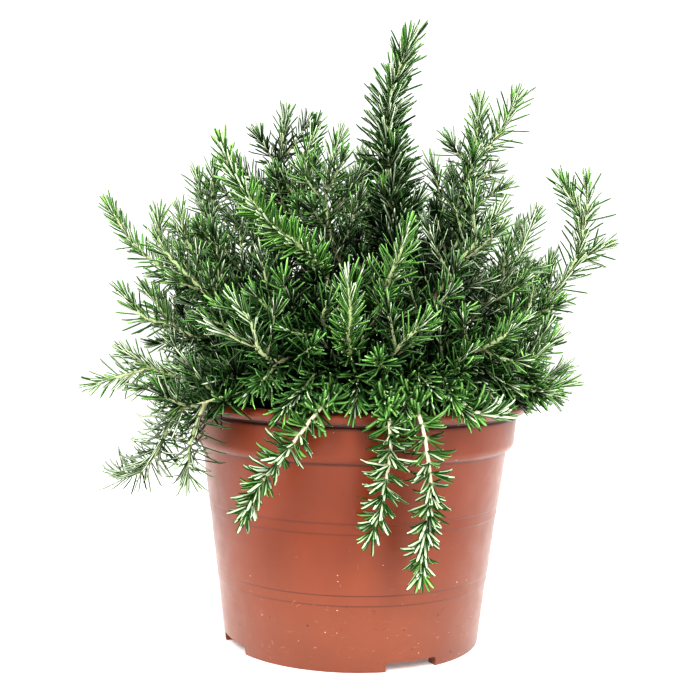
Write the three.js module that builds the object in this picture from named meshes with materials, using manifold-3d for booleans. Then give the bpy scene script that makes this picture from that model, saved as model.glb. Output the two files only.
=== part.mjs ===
/*
Potted rosemary: a moulded plastic nursery pot filled with soil, woody stems that stand in
the soil, and leafy sprigs that grow from them.

Millimetres, +Z up. The origin is on the pot's axis, at the surface that the pot stands on.
The front of the plant faces -Y, and +X is to the right.
*/
import * as THREE from 'three';
import { mergeVertices } from 'three/addons/utils/BufferGeometryUtils.js';
import Module from 'manifold-3d';

const wasm = await Module();
wasm.setup();

// Pot: each outline is a row of [radius, z] points on the outside, from low to high
const WALL = 1.8;
const FOOT_RADIUS = 70;
const FOOT_RING_WIDTH = 7;
const SHOULDER = { radius: 83.6, z: 106.3 };
const COLLAR_OUTLINE = [[86.4, 108], [87.6, 110.5], [88.7, 124.5]];
const LIP_OUTLINE = [[92.8, 127.1], [95, 130], [94.2, 132], [91.5, 133], [89, 132]];
const COLLAR_RADIUS = 88.7;
const COLLAR_TOP = 124.5;
const LIP_RADIUS = 95;
const POT_HEIGHT = 133;
const BASE = { underZ: 6, topZ: 8 };
const STEP_LINES = [34.4, 39.7, 71, 76.4];
const STEP_DEPTH = 0.5;
const STEP_HEIGHT = 0.6;
const POT_SIDES = 36;
const NOTCH = { count: 4, firstAngle: 26.7, width: 29, height: 4.9 };
const DRAIN = { count: 6, ringRadius: 46, radius: 5.5, sides: 10 };

// Soil
const SOIL_TOP = 126;
const SOIL_RELIEF = 1.4;
const SOIL_WAVES = { x: 0.11, y: 0.13, slant: 0.29, slantShare: 0.4 };
const SOIL_SIDES = 24;
const SOIL_RINGS = [78, 40];

// Woody stems
const STEM_FOOT_Z = 96;
const STEM_RADIUS = { low: 3.4, high: 2.2 };
const FORK_RADIUS = { low: 2, high: 1.5 };
const STEM_SIDES = 6;
const FORK_SIDES = 5;
const HOLE = { radius: 4.2, sides: 8 };
const FORK_LEAD = 6;

// Leafy sprigs
const SEED = 20281;
const SHOOT_RADIUS = { low: 1.6, high: 1.2 };
const SHOOT_SIDES = 4;
const SHOOT_RING_SPACING = 24;
const NEEDLE = { length: 18, width: 1.6, thickness: 1.2, taper: 0.85 };
const YOUNG_NEEDLE_SHARE = 0.68;
const OLD_NEEDLE_ANGLE = 62;
const YOUNG_NEEDLE_ANGLE = 30;
const PAIR_SPACING = 10.6;
const BARE_BASE = 9;
const SAMPLES_PER_PAIR = 4;
const LENGTH_SPREAD = 0.1;
const TIP_FAN = { count: 3, angle: 20, sink: 1.5 };

// Where a needle's first place isn't clear, it is turned about its shoot, then cut shorter
const NEEDLE_TURNS = [0, 18, -18, 36, -36, 55, -55];
const NEEDLE_CUTS = [1, 0.8];
const NEEDLE_PROBES = [0.35, 0.7, 1];

// A three-sided section of radius 1
const TRIANGLE = { width: Math.sqrt(3), height: 1.5 };

// Clearances
const GAP = 0.35;
const SOIL_GAP = 0.4;

// Vertices of one piece closer than this are one, and its joined surfaces are kept this true
const MERGE_DISTANCE = 1e-4;
const JOIN_TOLERANCE = 0.05;

const radians = THREE.MathUtils.degToRad;
const lerp = THREE.MathUtils.lerp;

/*
Each woody stem stands at its foot, x and y, and runs through its trunk's points.
Each sprig forks off its stem at a share of the trunk's height, and follows its route from
where its leaves begin to its tip. Side shoots start on the sprig's own stem.
*/
const STEMS = [
  {
    name: 'left', foot: [-30, 0], trunk: [[-38, -2, 148], [-50, -3, 163]],
    sprigs: [
      { fork: 1, route: [[-65, -2, 182], [-85, 6, 192], [-107, 10, 201], [-124, 6, 214], [-136, 1, 232]] },
      {
        fork: 1,
        route: [[-65, -17, 173], [-85, -21, 192], [-100, -23, 207], [-106, -24, 215], [-106, -25, 225]],
      },
      {
        fork: 0.8, route: [[-62, -8, 157], [-83, -10, 162], [-101, -12, 172], [-112, -12, 187]],
        sides: [[[-97, -12, 170], [-114, -20, 175], [-123, -21, 185]]],
      },
      {
        fork: 0.45, route: [[-56, -22, 141], [-80, -28, 142], [-104, -31, 147], [-119, -32, 155]],
        sides: [[[-108, -31, 149], [-123, -30, 144], [-136, -30, 140]]],
      },
    ],
  },
  {
    name: 'front_left', foot: [-18, -24], trunk: [[-24, -36, 148], [-28, -42, 168]],
    sprigs: [
      {
        fork: 1,
        route: [
          [-16, -50, 196], [-25, -62, 209], [-42, -74, 222], [-54, -84, 236], [-61, -90, 247],
          [-64, -94, 256],
        ],
      },
      {
        fork: 0.8,
        route: [[-28, -66, 160], [-38, -84, 156], [-46, -94, 162], [-49, -100, 174], [-55, -104, 182]],
      },
      {
        fork: 1, route: [[-29, -50, 177], [-40, -66, 178], [-49, -76, 187]],
        sides: [[[-32, -54, 177], [-35, -67, 186], [-36, -76, 194]]],
      },
      { fork: 0.9, route: [[-48, -34, 167], [-57, -50, 173], [-66, -63, 181]] },
      {
        fork: 0.35,
        route: [
          [-44, -50, 140], [-62, -69, 138], [-76, -76, 134], [-89, -72, 129],
          [-96, -64, 115], [-104, -55, 102], [-112, -50, 95], [-119, -46, 93],
        ],
        sides: [[[-74, -76, 134], [-80, -77, 116], [-82, -73, 99]]],
      },
    ],
  },
  {
    name: 'front', foot: [6, -30], trunk: [[4, -44, 146], [2, -54, 158]],
    sprigs: [
      { fork: 1, route: [[10, -69, 178], [15, -85, 196], [19, -94, 207], [22, -101, 218]] },
      { fork: 0.9, route: [[-2, -74, 155], [-4, -96, 169], [-3, -109, 181], [-4, -117, 194]] },
      { fork: 1, route: [[-13, -66, 167], [-17, -77, 177], [-14, -85, 184]] },
      { fork: 0.6, route: [[14, -72, 152], [18, -85, 161], [24, -94, 169], [31, -101, 176]] },
      {
        fork: 0.35,
        route: [
          [-10, -68, 137], [-13, -88, 138], [-19, -101, 132], [-28, -105, 120],
          [-39, -104, 106], [-47, -102, 94], [-50, -100, 86],
        ],
      },
      {
        fork: 0.45,
        route: [
          [13, -70, 139], [15, -90, 138], [16, -102, 131], [17, -105, 117],
          [15, -103, 102], [13, -100, 88], [9, -98, 77],
        ],
      },
    ],
  },
  {
    name: 'front_right', foot: [28, -20], trunk: [[34, -34, 148], [38, -41, 166]],
    sprigs: [
      { fork: 1, route: [[31, -56, 172], [37, -66, 182], [45, -74, 190]] },
      { fork: 0.9, route: [[49, -53, 160], [61, -67, 163], [69, -77, 168], [74, -84, 173]] },
      { fork: 0.55, route: [[43, -58, 146], [48, -72, 154], [54, -82, 162]] },
      { fork: 0.7, route: [[64, -39, 145], [80, -48, 152], [90, -54, 159], [98, -57, 167]] },
      { fork: 0.3, route: [[44, -64, 137], [51, -83, 138], [58, -91, 134], [67, -88, 133]] },
      {
        fork: 0.25,
        route: [
          [25, -60, 137], [27, -86, 139], [31, -102, 130], [34, -106, 116],
          [36, -104, 100], [35, -101, 84], [33, -99, 69], [33, -98, 58],
        ],
      },
      { fork: 1, route: [[42, -34, 190], [54, -28, 208], [65, -22, 221], [74, -17, 234]] },
    ],
  },
  {
    name: 'right', foot: [36, 6], trunk: [[48, 6, 146], [58, 3, 160]],
    sprigs: [
      {
        fork: 0.9, route: [[80, 13, 163], [106, 20, 186], [124, 24, 210], [128, 26, 232], [119, 28, 252]],
        sides: [
          [[128, 26, 228], [130, 23, 240], [129, 22, 251]],
          [[124, 24, 208], [132, 25, 215], [138, 25, 218]],
        ],
      },
      { fork: 1, route: [[60, -14, 176], [73, -12, 190], [86, -5, 208], [96, 4, 231]] },
      { fork: 0.5, route: [[68, -20, 141], [85, -33, 140], [96, -40, 141], [105, -43, 144]] },
      { fork: 0.75, route: [[72, 1, 156], [87, 3, 168], [95, 2, 184], [97, -1, 200]] },
    ],
  },
  {
    name: 'centre', foot: [2, 6], trunk: [[4, 8, 160], [8, 8, 190]],
    sprigs: [
      { fork: 1, route: [[20, 4, 208], [19, 4, 239], [15, 2, 268], [16, 0, 297], [25, -5, 325]] },
      { fork: 0.85, route: [[-33, 26, 213], [-43, 31, 243], [-45, 34, 268], [-44, 34, 288]] },
      { fork: 0.95, route: [[-20, 8, 207], [-31, 6, 239], [-31, 2, 260], [-27, 0, 272]] },
      { fork: 0.9, route: [[-9, -10, 204], [-17, -14, 229], [-17, -18, 252], [-12, -21, 270]] },
      { fork: 0.7, route: [[46, -1, 206], [56, -5, 222], [55, -7, 230], [50, -10, 241]] },
      {
        fork: 0.8, route: [[44, 22, 212], [58, 28, 244], [66, 32, 270], [68, 35, 296]],
        sides: [[[65, 31, 266], [79, 27, 283], [87, 23, 299]]],
      },
    ],
  },
  {
    name: 'back_right', foot: [22, 30], trunk: [[36, 48, 150], [44, 56, 172]],
    sprigs: [
      { fork: 0.8, route: [[70, 46, 168], [97, 46, 183], [107, 49, 195], [114, 52, 209]] },
      { fork: 1, route: [[60, 66, 184], [80, 80, 196], [93, 92, 212], [101, 99, 233]] },
      { fork: 0.7, route: [[54, 72, 156], [72, 88, 161], [88, 100, 170], [96, 108, 184]] },
      { fork: 0.4, route: [[66, 40, 144], [92, 46, 148], [102, 50, 153], [112, 56, 161]] },
      { fork: 1, route: [[48, 66, 194], [54, 82, 218], [60, 92, 244]] },
    ],
  },
  {
    name: 'back', foot: [-6, 36], trunk: [[-8, 56, 150], [-6, 62, 176]],
    sprigs: [
      { fork: 1, route: [[8, 54, 212], [5, 60, 244], [2, 64, 269]] },
      { fork: 1, route: [[-10, 78, 192], [-12, 98, 208], [-12, 112, 226], [-8, 120, 248]] },
      { fork: 0.8, route: [[10, 77, 172], [18, 98, 182], [26, 111, 196], [32, 119, 212]] },
      { fork: 0.65, route: [[-22, 76, 162], [-34, 96, 168], [-46, 110, 180], [-54, 118, 196]] },
      { fork: 0.35, route: [[-2, 76, 140], [-1, 97, 141], [2, 110, 136], [5, 116, 122], [5, 118, 107]] },
      { fork: 0.95, route: [[24, 70, 196], [34, 84, 216], [38, 94, 240]] },
    ],
  },
  {
    name: 'back_left', foot: [-30, 26], trunk: [[-44, 40, 150], [-50, 43, 172]],
    sprigs: [
      { fork: 1, route: [[-42, 48, 208], [-51, 54, 232], [-58, 59, 251]] },
      { fork: 1, route: [[-58, 28, 193], [-75, 31, 211], [-88, 35, 232], [-94, 38, 253]] },
      { fork: 0.9, route: [[-70, 20, 189], [-90, 22, 207], [-99, 24, 221], [-102, 25, 233]] },
      { fork: 0.85, route: [[-64, 56, 174], [-82, 70, 188], [-94, 80, 206], [-100, 85, 226]] },
      { fork: 0.6, route: [[-68, 40, 154], [-90, 50, 159], [-108, 58, 169], [-120, 63, 186]] },
      { fork: 0.45, route: [[-52, 62, 142], [-66, 78, 145], [-80, 92, 152], [-90, 102, 166]] },
    ],
  },
];

/** Returns a function that gives the same row of numbers from 0 to 1 each run. */
function seededRandom(seed) {
  let state = seed;
  return () => {
    state = (state * 1664525 + 1013904223) % 4294967296;
    return state / 4294967296;
  };
}

const random = seededRandom(SEED);

/** A number near 1, at most `spread` away from it. */
function around(spread) {
  return 1 + spread * (2 * random() - 1);
}

/** Turns a closed three.js geometry into a solid that can be joined and cut. */
function toSolid(geometry) {
  geometry.deleteAttribute('normal');
  geometry.deleteAttribute('uv');
  const merged = mergeVertices(geometry, MERGE_DISTANCE);
  const vertices = merged.getAttribute('position').array;
  const corners = merged.index.array;
  const kept = [];
  let volume = 0;
  for (let i = 0; i < corners.length; i += 3) {
    const [a, b, c] = [corners[i], corners[i + 1], corners[i + 2]];
    if (a === b || b === c || c === a) continue;
    kept.push(a, b, c);
    const [p, q, r] = [a, b, c].map((k) => new THREE.Vector3().fromArray(vertices, 3 * k));
    volume += p.dot(q.cross(r));
  }
  if (volume < 0) kept.reverse();
  return new wasm.Manifold(new wasm.Mesh({
    numProp: 3,
    vertProperties: new Float32Array(vertices),
    triVerts: new Uint32Array(kept),
  }));
}

/** Turns a solid back into a three.js geometry. */
function toGeometry(solid) {
  const mesh = solid.asOriginal().simplify(JOIN_TOLERANCE).getMesh();
  const geometry = new THREE.BufferGeometry();
  geometry.setAttribute('position', new THREE.BufferAttribute(mesh.vertProperties, 3));
  geometry.setIndex(new THREE.BufferAttribute(mesh.triVerts, 1));
  geometry.computeVertexNormals();
  return geometry;
}

/** A solid turned about +Z from a profile of [radius, z] points. */
function turned(profile, sides) {
  const points = profile.map(([radius, z]) => new THREE.Vector2(radius, z));
  return new THREE.LatheGeometry(points, sides).rotateX(Math.PI / 2);
}

/** An upright cylinder standing on `z`. */
function upright(x, y, z, radius, height, sides) {
  const cylinder = new THREE.CylinderGeometry(radius, radius, height, sides);
  return cylinder.rotateX(Math.PI / 2).translate(x, y, z + height / 2);
}

/** The direction of a row of points at one of them. */
function directionAt(points, i) {
  const before = points[Math.max(i - 1, 0)];
  const after = points[Math.min(i + 1, points.length - 1)];
  return after.clone().sub(before).normalize();
}

/** Side directions at each point that turn as little as possible along the row. */
function framesAlong(points) {
  const frames = [];
  let side = new THREE.Vector3(0, 1, 0);
  points.forEach((point, i) => {
    const along = directionAt(points, i);
    if (i === 0 && Math.abs(along.y) > 0.8) side = new THREE.Vector3(1, 0, 0);
    side = side.clone().addScaledVector(along, -side.dot(along)).normalize();
    frames.push({ along, side, across: along.clone().cross(side) });
  });
  return frames;
}

/** A tapered rod with flat ends, bent along a row of points. */
function rod(points, lowRadius, highRadius, sides) {
  const rows = points.length - 1;
  const geometry = new THREE.CylinderGeometry(1, 1, 1, sides, rows);
  const frames = framesAlong(points);
  const position = geometry.getAttribute('position');
  const vertex = new THREE.Vector3();
  for (let i = 0; i < position.count; i += 1) {
    vertex.fromBufferAttribute(position, i);
    const row = Math.round((vertex.y + 0.5) * rows);
    const radius = lerp(lowRadius, highRadius, row / rows);
    const { side, across } = frames[row];
    const place = points[row].clone();
    place.addScaledVector(side, vertex.x * radius).addScaledVector(across, -vertex.z * radius);
    position.setXYZ(i, place.x, place.y, place.z);
  }
  return geometry;
}

/** A three-sided needle from `root`, flat side towards its shoot's direction `along`. */
function needle(root, direction, length, along) {
  const geometry = new THREE.CylinderGeometry(NEEDLE.taper, 1, length, 3, 1);
  geometry.scale(NEEDLE.width / TRIANGLE.width, 1, NEEDLE.thickness / TRIANGLE.height);
  geometry.translate(0, length / 2, 0);
  const width = direction.clone().cross(along).normalize();
  const depth = width.clone().cross(direction);
  const placed = new THREE.Matrix4().makeBasis(width, direction, depth).setPosition(root);
  return geometry.applyMatrix4(placed);
}

/** The shortest distance between the straight lines from a to b and from c to d. */
function distanceBetween(a, b, c, d) {
  const u = b.clone().sub(a);
  const v = d.clone().sub(c);
  const w = a.clone().sub(c);
  const [uu, uv, vv, uw, vw] = [u.dot(u), u.dot(v), v.dot(v), u.dot(w), v.dot(w)];
  const cross = uu * vv - uv * uv;
  let s = cross > 1e-9 ? THREE.MathUtils.clamp((uv * vw - vv * uw) / cross, 0, 1) : 0;
  const t = THREE.MathUtils.clamp((uv * s + vw) / vv, 0, 1);
  s = THREE.MathUtils.clamp((uv * t - uw) / uu, 0, 1);
  return a.clone().addScaledVector(u, s).distanceTo(c.clone().addScaledVector(v, t));
}

/** The straight runs of stems, shoots and needles placed so far, each with its owner. */
const placed = [];

/** Notes a row of points as taken up by `owner`. */
function takeUp(points, radius, owner) {
  for (let i = 1; i < points.length; i += 1) {
    placed.push({ a: points[i - 1], b: points[i], radius, owner });
  }
}

/** The pot's radius over the wall at a height. */
function wallRadius(z) {
  return lerp(FOOT_RADIUS, SHOULDER.radius, z / SHOULDER.z);
}

/** Tells whether a point is clear of the pot and the soil by `margin`. */
function clearOfPot(point, margin) {
  const { z } = point;
  const radius = Math.hypot(point.x, point.y);
  if (z > POT_HEIGHT + margin) return true;
  let outer = wallRadius(z);
  if (z > SHOULDER.z - margin) outer = COLLAR_RADIUS;
  if (z > COLLAR_TOP - margin) outer = LIP_RADIUS;
  if (radius > outer + margin) return true;
  return radius < SHOULDER.radius && z > SOIL_TOP + SOIL_RELIEF + margin;
}

/** Tells whether a needle from a to b is clear of the pot and of every other piece. */
function isClear(a, b, owner) {
  const radius = NEEDLE.width / TRIANGLE.width;
  for (const share of NEEDLE_PROBES) {
    if (!clearOfPot(a.clone().lerp(b, share), radius + GAP)) return false;
  }
  return placed.every((run) => run.owner === owner
    || distanceBetween(a, b, run.a, run.b) > radius + run.radius + GAP);
}

/** Tries turned and shortened places for a needle, and gives the first that is clear. */
function fitNeedle(root, frame, turn, tilt, length, owner) {
  for (const share of NEEDLE_CUTS) {
    for (const extra of NEEDLE_TURNS) {
      const angle = turn + radians(extra);
      const outward = frame.side.clone().multiplyScalar(Math.cos(angle));
      outward.addScaledVector(frame.across, Math.sin(angle));
      const direction = frame.along.clone().multiplyScalar(Math.cos(tilt));
      direction.addScaledVector(outward, Math.sin(tilt));
      const end = root.clone().addScaledVector(direction, length * share);
      if (isClear(root, end, owner)) {
        takeUp([root, end], NEEDLE.width / TRIANGLE.width, owner);
        return needle(root, direction, length * share, frame.along);
      }
    }
  }
  return null;
}

/** A smooth curve through a route's points. */
function routeCurve(route) {
  return new THREE.CatmullRomCurve3(route.map((point) => new THREE.Vector3(...point)));
}

/** The points of a shoot's slim stem. */
function shootPoints(curve) {
  return curve.getSpacedPoints(Math.max(2, Math.round(curve.getLength() / SHOOT_RING_SPACING)));
}

/** Evenly spaced points on the straight runs between a row of points. */
function pointsBetween(points, count) {
  return Array.from({ length: count + 1 }, (_, i) => {
    const place = (i / count) * (points.length - 1);
    const row = Math.min(Math.floor(place), points.length - 2);
    return points[row].clone().lerp(points[row + 1], place - row);
  });
}

/** The needles of one shoot: opposite pairs, each turned by a right angle, and a tip fan. */
function needlesOf(curve, owner, bareBase) {
  const length = curve.getLength();
  const pairs = Math.max(2, Math.round((length - bareBase) / PAIR_SPACING));
  const parts = [];
  const firstTurn = Math.PI / SHOOT_SIDES;
  const samples = pointsBetween(shootPoints(curve), pairs * SAMPLES_PER_PAIR);
  const frames = framesAlong(samples);
  const start = bareBase / length;
  for (let pair = 0; pair < pairs; pair += 1) {
    const share = lerp(start, 1, pair / pairs);
    const index = Math.round(share * pairs * SAMPLES_PER_PAIR);
    const age = 1 - share * share;
    const tilt = radians(lerp(YOUNG_NEEDLE_ANGLE, OLD_NEEDLE_ANGLE, age));
    const grown = lerp(YOUNG_NEEDLE_SHARE, 1, Math.min(1, 2 * age));
    const reach = NEEDLE.length * grown * around(LENGTH_SPREAD);
    for (const half of [0, 1]) {
      const turn = firstTurn + (pair * Math.PI) / 2 + half * Math.PI;
      parts.push(fitNeedle(samples[index], frames[index], turn, tilt, reach, owner));
    }
  }
  const last = samples.length - 1;
  const tip = samples[last].clone().addScaledVector(frames[last].along, -TIP_FAN.sink);
  for (let i = 0; i < TIP_FAN.count; i += 1) {
    const turn = firstTurn + (i * 2 * Math.PI) / TIP_FAN.count;
    const reach = NEEDLE.length * YOUNG_NEEDLE_SHARE * around(LENGTH_SPREAD);
    parts.push(fitNeedle(tip, frames[last], turn, radians(TIP_FAN.angle), reach, owner));
  }
  return parts.filter((part) => part !== null);
}

/** The points of a woody stem from its foot in the soil to its top. */
function trunkPoints(stem) {
  const [x, y] = stem.foot;
  const inSoil = [[x, y, STEM_FOOT_Z], [x, y, SOIL_TOP + 2 * SOIL_RELIEF]];
  return [...inSoil, ...stem.trunk].map((point) => new THREE.Vector3(...point));
}

/** The point at a share of the way up the part of a trunk that is over the soil. */
function forkPoint(stem, share) {
  const points = trunkPoints(stem).slice(1);
  const place = share * (points.length - 1);
  const row = Math.min(Math.floor(place), points.length - 2);
  return points[row].clone().lerp(points[row + 1], place - row);
}

/** The points of the fork that carries a sprig, which ends just under the sprig's base. */
function forkPoints(stem, sprig) {
  const curve = routeCurve(sprig.route);
  const base = curve.getPointAt(0);
  const along = curve.getTangentAt(0);
  const lead = base.clone().addScaledVector(along, -FORK_LEAD);
  const end = base.clone().addScaledVector(along, -GAP);
  return [forkPoint(stem, sprig.fork), lead, end];
}

/** An outline moved in from the outside by `inset`, and up by as much where it is steep. */
function insideOf(outline, inset) {
  return outline.map(([radius, z]) => [radius - inset, Math.min(z + inset / 2, COLLAR_TOP)]);
}

/** The pot: tapered wall, collar, lip, raised base with drainage holes, and notched foot. */
function makePot() {
  const stepPoints = STEP_LINES.flatMap((z) => [
    [wallRadius(z) - STEP_DEPTH, z],
    [wallRadius(z + STEP_HEIGHT), z + STEP_HEIGHT],
  ]);
  const pot = toSolid(turned([
    [0, BASE.underZ],
    [FOOT_RADIUS - FOOT_RING_WIDTH, BASE.underZ],
    [FOOT_RADIUS - FOOT_RING_WIDTH, 0],
    [FOOT_RADIUS, 0],
    ...stepPoints,
    [SHOULDER.radius, SHOULDER.z],
    ...COLLAR_OUTLINE,
    ...LIP_OUTLINE,
    ...insideOf([[SHOULDER.radius, SHOULDER.z], ...COLLAR_OUTLINE], WALL).reverse(),
    [wallRadius(BASE.topZ) - WALL - STEP_DEPTH, BASE.topZ],
    [0, BASE.topZ],
  ], POT_SIDES));
  const cutters = [];
  for (let i = 0; i < NOTCH.count; i += 1) {
    const cutter = new THREE.BoxGeometry(NOTCH.width, 4 * FOOT_RING_WIDTH, 2 * NOTCH.height);
    cutter.translate(0, -FOOT_RADIUS, 0);
    cutter.rotateZ(radians(NOTCH.firstAngle + (360 * i) / NOTCH.count));
    cutters.push(toSolid(cutter));
  }
  for (let i = 0; i < DRAIN.count; i += 1) {
    const angle = (2 * Math.PI * i) / DRAIN.count;
    const [x, y] = [DRAIN.ringRadius * Math.cos(angle), DRAIN.ringRadius * Math.sin(angle)];
    cutters.push(toSolid(upright(x, y, 0, DRAIN.radius, 2 * BASE.topZ, DRAIN.sides)));
  }
  return pot.subtract(wasm.Manifold.union(cutters));
}

/** The soil: it fills the pot, has a gently uneven top and plain holes for the stems. */
function makeSoil() {
  const inset = WALL + STEP_DEPTH + SOIL_GAP;
  const geometry = turned([
    [0, BASE.topZ + SOIL_GAP],
    [wallRadius(BASE.topZ) - inset, BASE.topZ + SOIL_GAP],
    ...insideOf([[SHOULDER.radius, SHOULDER.z], ...COLLAR_OUTLINE], inset),
    ...SOIL_RINGS.map((radius) => [radius, SOIL_TOP]),
    [0, SOIL_TOP],
  ], SOIL_SIDES);
  const position = geometry.getAttribute('position');
  for (let i = 0; i < position.count; i += 1) {
    const [x, y, z] = [position.getX(i), position.getY(i), position.getZ(i)];
    const broad = Math.sin(SOIL_WAVES.x * x) * Math.cos(SOIL_WAVES.y * y);
    const fine = SOIL_WAVES.slantShare * Math.sin(SOIL_WAVES.slant * (x - y));
    const bump = (broad + fine) / (1 + SOIL_WAVES.slantShare);
    if (Math.abs(z - SOIL_TOP) < JOIN_TOLERANCE) position.setZ(i, z + SOIL_RELIEF * bump);
  }
  const depth = SOIL_TOP - STEM_FOOT_Z + SOIL_GAP;
  const holes = STEMS.map(({ foot: [x, y] }) => toSolid(
    upright(x, y, STEM_FOOT_Z - SOIL_GAP, HOLE.radius, depth + 3 * SOIL_RELIEF, HOLE.sides),
  ));
  return toSolid(geometry).subtract(wasm.Manifold.union(holes));
}

/** One woody stem with the forks that carry its sprigs. */
function makeStem(stem) {
  const trunk = rod(trunkPoints(stem), STEM_RADIUS.low, STEM_RADIUS.high, STEM_SIDES);
  const forks = stem.sprigs.map((sprig) => rod(
    forkPoints(stem, sprig), FORK_RADIUS.low, FORK_RADIUS.high, FORK_SIDES,
  ));
  return wasm.Manifold.union([trunk, ...forks].map(toSolid));
}

/** One leafy sprig: its slim stem with any side shoots, and all their needles. */
function makeSprig(sprig, owner) {
  const main = routeCurve(sprig.route);
  const sides = (sprig.sides ?? []).map(routeCurve);
  const parts = [rod(shootPoints(main), SHOOT_RADIUS.low, SHOOT_RADIUS.high, SHOOT_SIDES)];
  for (const side of sides) {
    parts.push(rod(shootPoints(side), SHOOT_RADIUS.high, SHOOT_RADIUS.high, SHOOT_SIDES));
  }
  parts.push(...needlesOf(main, owner, BARE_BASE));
  for (const side of sides) parts.push(...needlesOf(side, owner, BARE_BASE / 2));
  return wasm.Manifold.union(parts.map(toSolid));
}

/** A named mesh of one piece in its own material. */
function piece(name, solid, material) {
  const mesh = new THREE.Mesh(toGeometry(solid), material);
  mesh.name = name;
  return mesh;
}

/** The name of a stem's sprig, counted from 1. */
function sprigName(stem, index) {
  return `sprig_${stem.name}_${index + 1}`;
}

const moulded = { color: 0xbb6244, roughness: 0.5, metalness: 0 };
const peat = { color: 0x2c211a, roughness: 1, metalness: 0 };
const bark = { color: 0x6d5640, roughness: 0.9, metalness: 0 };
const foliage = { color: 0x4f7a44, roughness: 0.65, metalness: 0 };

for (const stem of STEMS) {
  takeUp(trunkPoints(stem), STEM_RADIUS.low, `stem_${stem.name}`);
  stem.sprigs.forEach((sprig, index) => {
    takeUp(forkPoints(stem, sprig), FORK_RADIUS.low, `stem_${stem.name}`);
    for (const route of [sprig.route, ...(sprig.sides ?? [])]) {
      takeUp(shootPoints(routeCurve(route)), SHOOT_RADIUS.low, sprigName(stem, index));
    }
  });
}

const plant = new THREE.Group();
plant.add(piece('pot', makePot(), new THREE.MeshStandardMaterial(moulded)));
plant.add(piece('soil', makeSoil(), new THREE.MeshStandardMaterial(peat)));
for (const stem of STEMS) {
  const wood = new THREE.MeshStandardMaterial(bark);
  plant.add(piece(`stem_${stem.name}`, makeStem(stem), wood));
  stem.sprigs.forEach((sprig, index) => {
    const name = sprigName(stem, index);
    plant.add(piece(name, makeSprig(sprig, name), new THREE.MeshStandardMaterial(foliage)));
  });
}

export default plant;
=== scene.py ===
"""The potted rosemary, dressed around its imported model.

The pot, the soil, the nine woody stems and their leafy sprigs keep the places and sizes of the
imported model, and finer pieces stand for them. Plans and sizes are in millimetres, +Z up, with
the front of the plant towards -Y. A piece is turned into metres when it is finished.
"""

import logging
import math
from dataclasses import dataclass, field
from enum import Enum
from typing import Any, Iterator, Sequence

import bmesh
import bpy
import numpy as np
from mathutils import Matrix, Vector, noise


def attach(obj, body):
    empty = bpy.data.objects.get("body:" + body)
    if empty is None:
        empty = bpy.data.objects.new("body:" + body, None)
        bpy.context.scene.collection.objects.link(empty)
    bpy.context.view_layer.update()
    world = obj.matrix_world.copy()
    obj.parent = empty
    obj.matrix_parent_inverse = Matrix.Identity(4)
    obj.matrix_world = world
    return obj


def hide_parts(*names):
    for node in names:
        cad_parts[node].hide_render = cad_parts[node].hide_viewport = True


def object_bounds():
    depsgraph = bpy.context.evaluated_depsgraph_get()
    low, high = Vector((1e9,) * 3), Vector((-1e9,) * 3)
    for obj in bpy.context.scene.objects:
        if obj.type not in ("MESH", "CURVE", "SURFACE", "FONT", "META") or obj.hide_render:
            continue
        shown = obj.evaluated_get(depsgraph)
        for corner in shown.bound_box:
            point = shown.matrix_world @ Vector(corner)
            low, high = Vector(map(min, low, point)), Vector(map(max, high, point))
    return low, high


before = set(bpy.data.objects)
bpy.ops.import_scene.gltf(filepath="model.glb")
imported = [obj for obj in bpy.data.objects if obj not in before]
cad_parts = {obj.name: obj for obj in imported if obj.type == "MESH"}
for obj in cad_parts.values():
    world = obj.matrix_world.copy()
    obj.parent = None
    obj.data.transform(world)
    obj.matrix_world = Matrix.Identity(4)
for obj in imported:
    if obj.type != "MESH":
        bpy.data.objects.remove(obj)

MM = 0.001
BODY = "root"
CAD_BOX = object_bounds()
BOX_MARGIN = 3.0
UP = np.array([0.0, 0.0, 1.0])
MERGE_DISTANCE = 1e-4
SMOOTH_ANGLE = math.radians(35)
GOLDEN_TURN = 2.4

log = logging.getLogger("rosemary")

Point = tuple[float, float, float]
Route = tuple[Point, ...]
Colour = tuple[float, float, float, float]
Tree = bpy.types.NodeTree
Socket = bpy.types.NodeSocket
Sockets = dict[str, Any]
Layer = tuple[Socket, Socket | str]
BMesh = bmesh.types.BMesh
Random = np.random.Generator


# Colours and nodes


def linear(hex_colour: str) -> Colour:
    """Turns an sRGB hex colour into linear light.

    Args:
        hex_colour: Six hex digits after a hash.

    Returns:
        Red, green, blue and an alpha of 1.
    """
    shares = [int(hex_colour[i : i + 2], 16) / 255 for i in (1, 3, 5)]
    curve = [s / 12.92 if s <= 0.04045 else ((s + 0.055) / 1.055) ** 2.4 for s in shares]
    return (curve[0], curve[1], curve[2], 1.0)


def per(size_mm: float) -> float:
    """The scale of a pattern whose features are this many millimetres apart."""
    return 1 / (size_mm * MM)


def add_node(
    tree: Tree, kind: str, inputs: dict[str | int, Any] | Sequence[Any] = (),
    stops: Sequence[tuple[float, Colour]] = (), **settings: Any,
) -> Any:
    """Adds one shader node to a tree, with its settings, values and links.

    Args:
        tree: The node tree.
        kind: Blender's name of the node's type, without the ShaderNode that it starts with.
        inputs: A value, or an output to link, for each input by name or number, or in order.
        stops: The places and colours of a colour ramp.
        settings: The node's own properties.

    Returns:
        The new node's outputs.
    """
    node = tree.nodes.new(f"ShaderNode{kind}")
    for name, value in settings.items():
        setattr(node, name, value)
    for name, value in inputs.items() if isinstance(inputs, dict) else enumerate(inputs):
        if isinstance(value, Socket):
            tree.links.new(value, node.inputs[name])
        else:
            node.inputs[name].default_value = value
    for i, (place, colour) in enumerate(stops):
        ramp = node.color_ramp.elements
        stop = ramp[i] if i < 2 else ramp.new(place)
        stop.position, stop.color = place, colour
    return node.outputs


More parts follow.
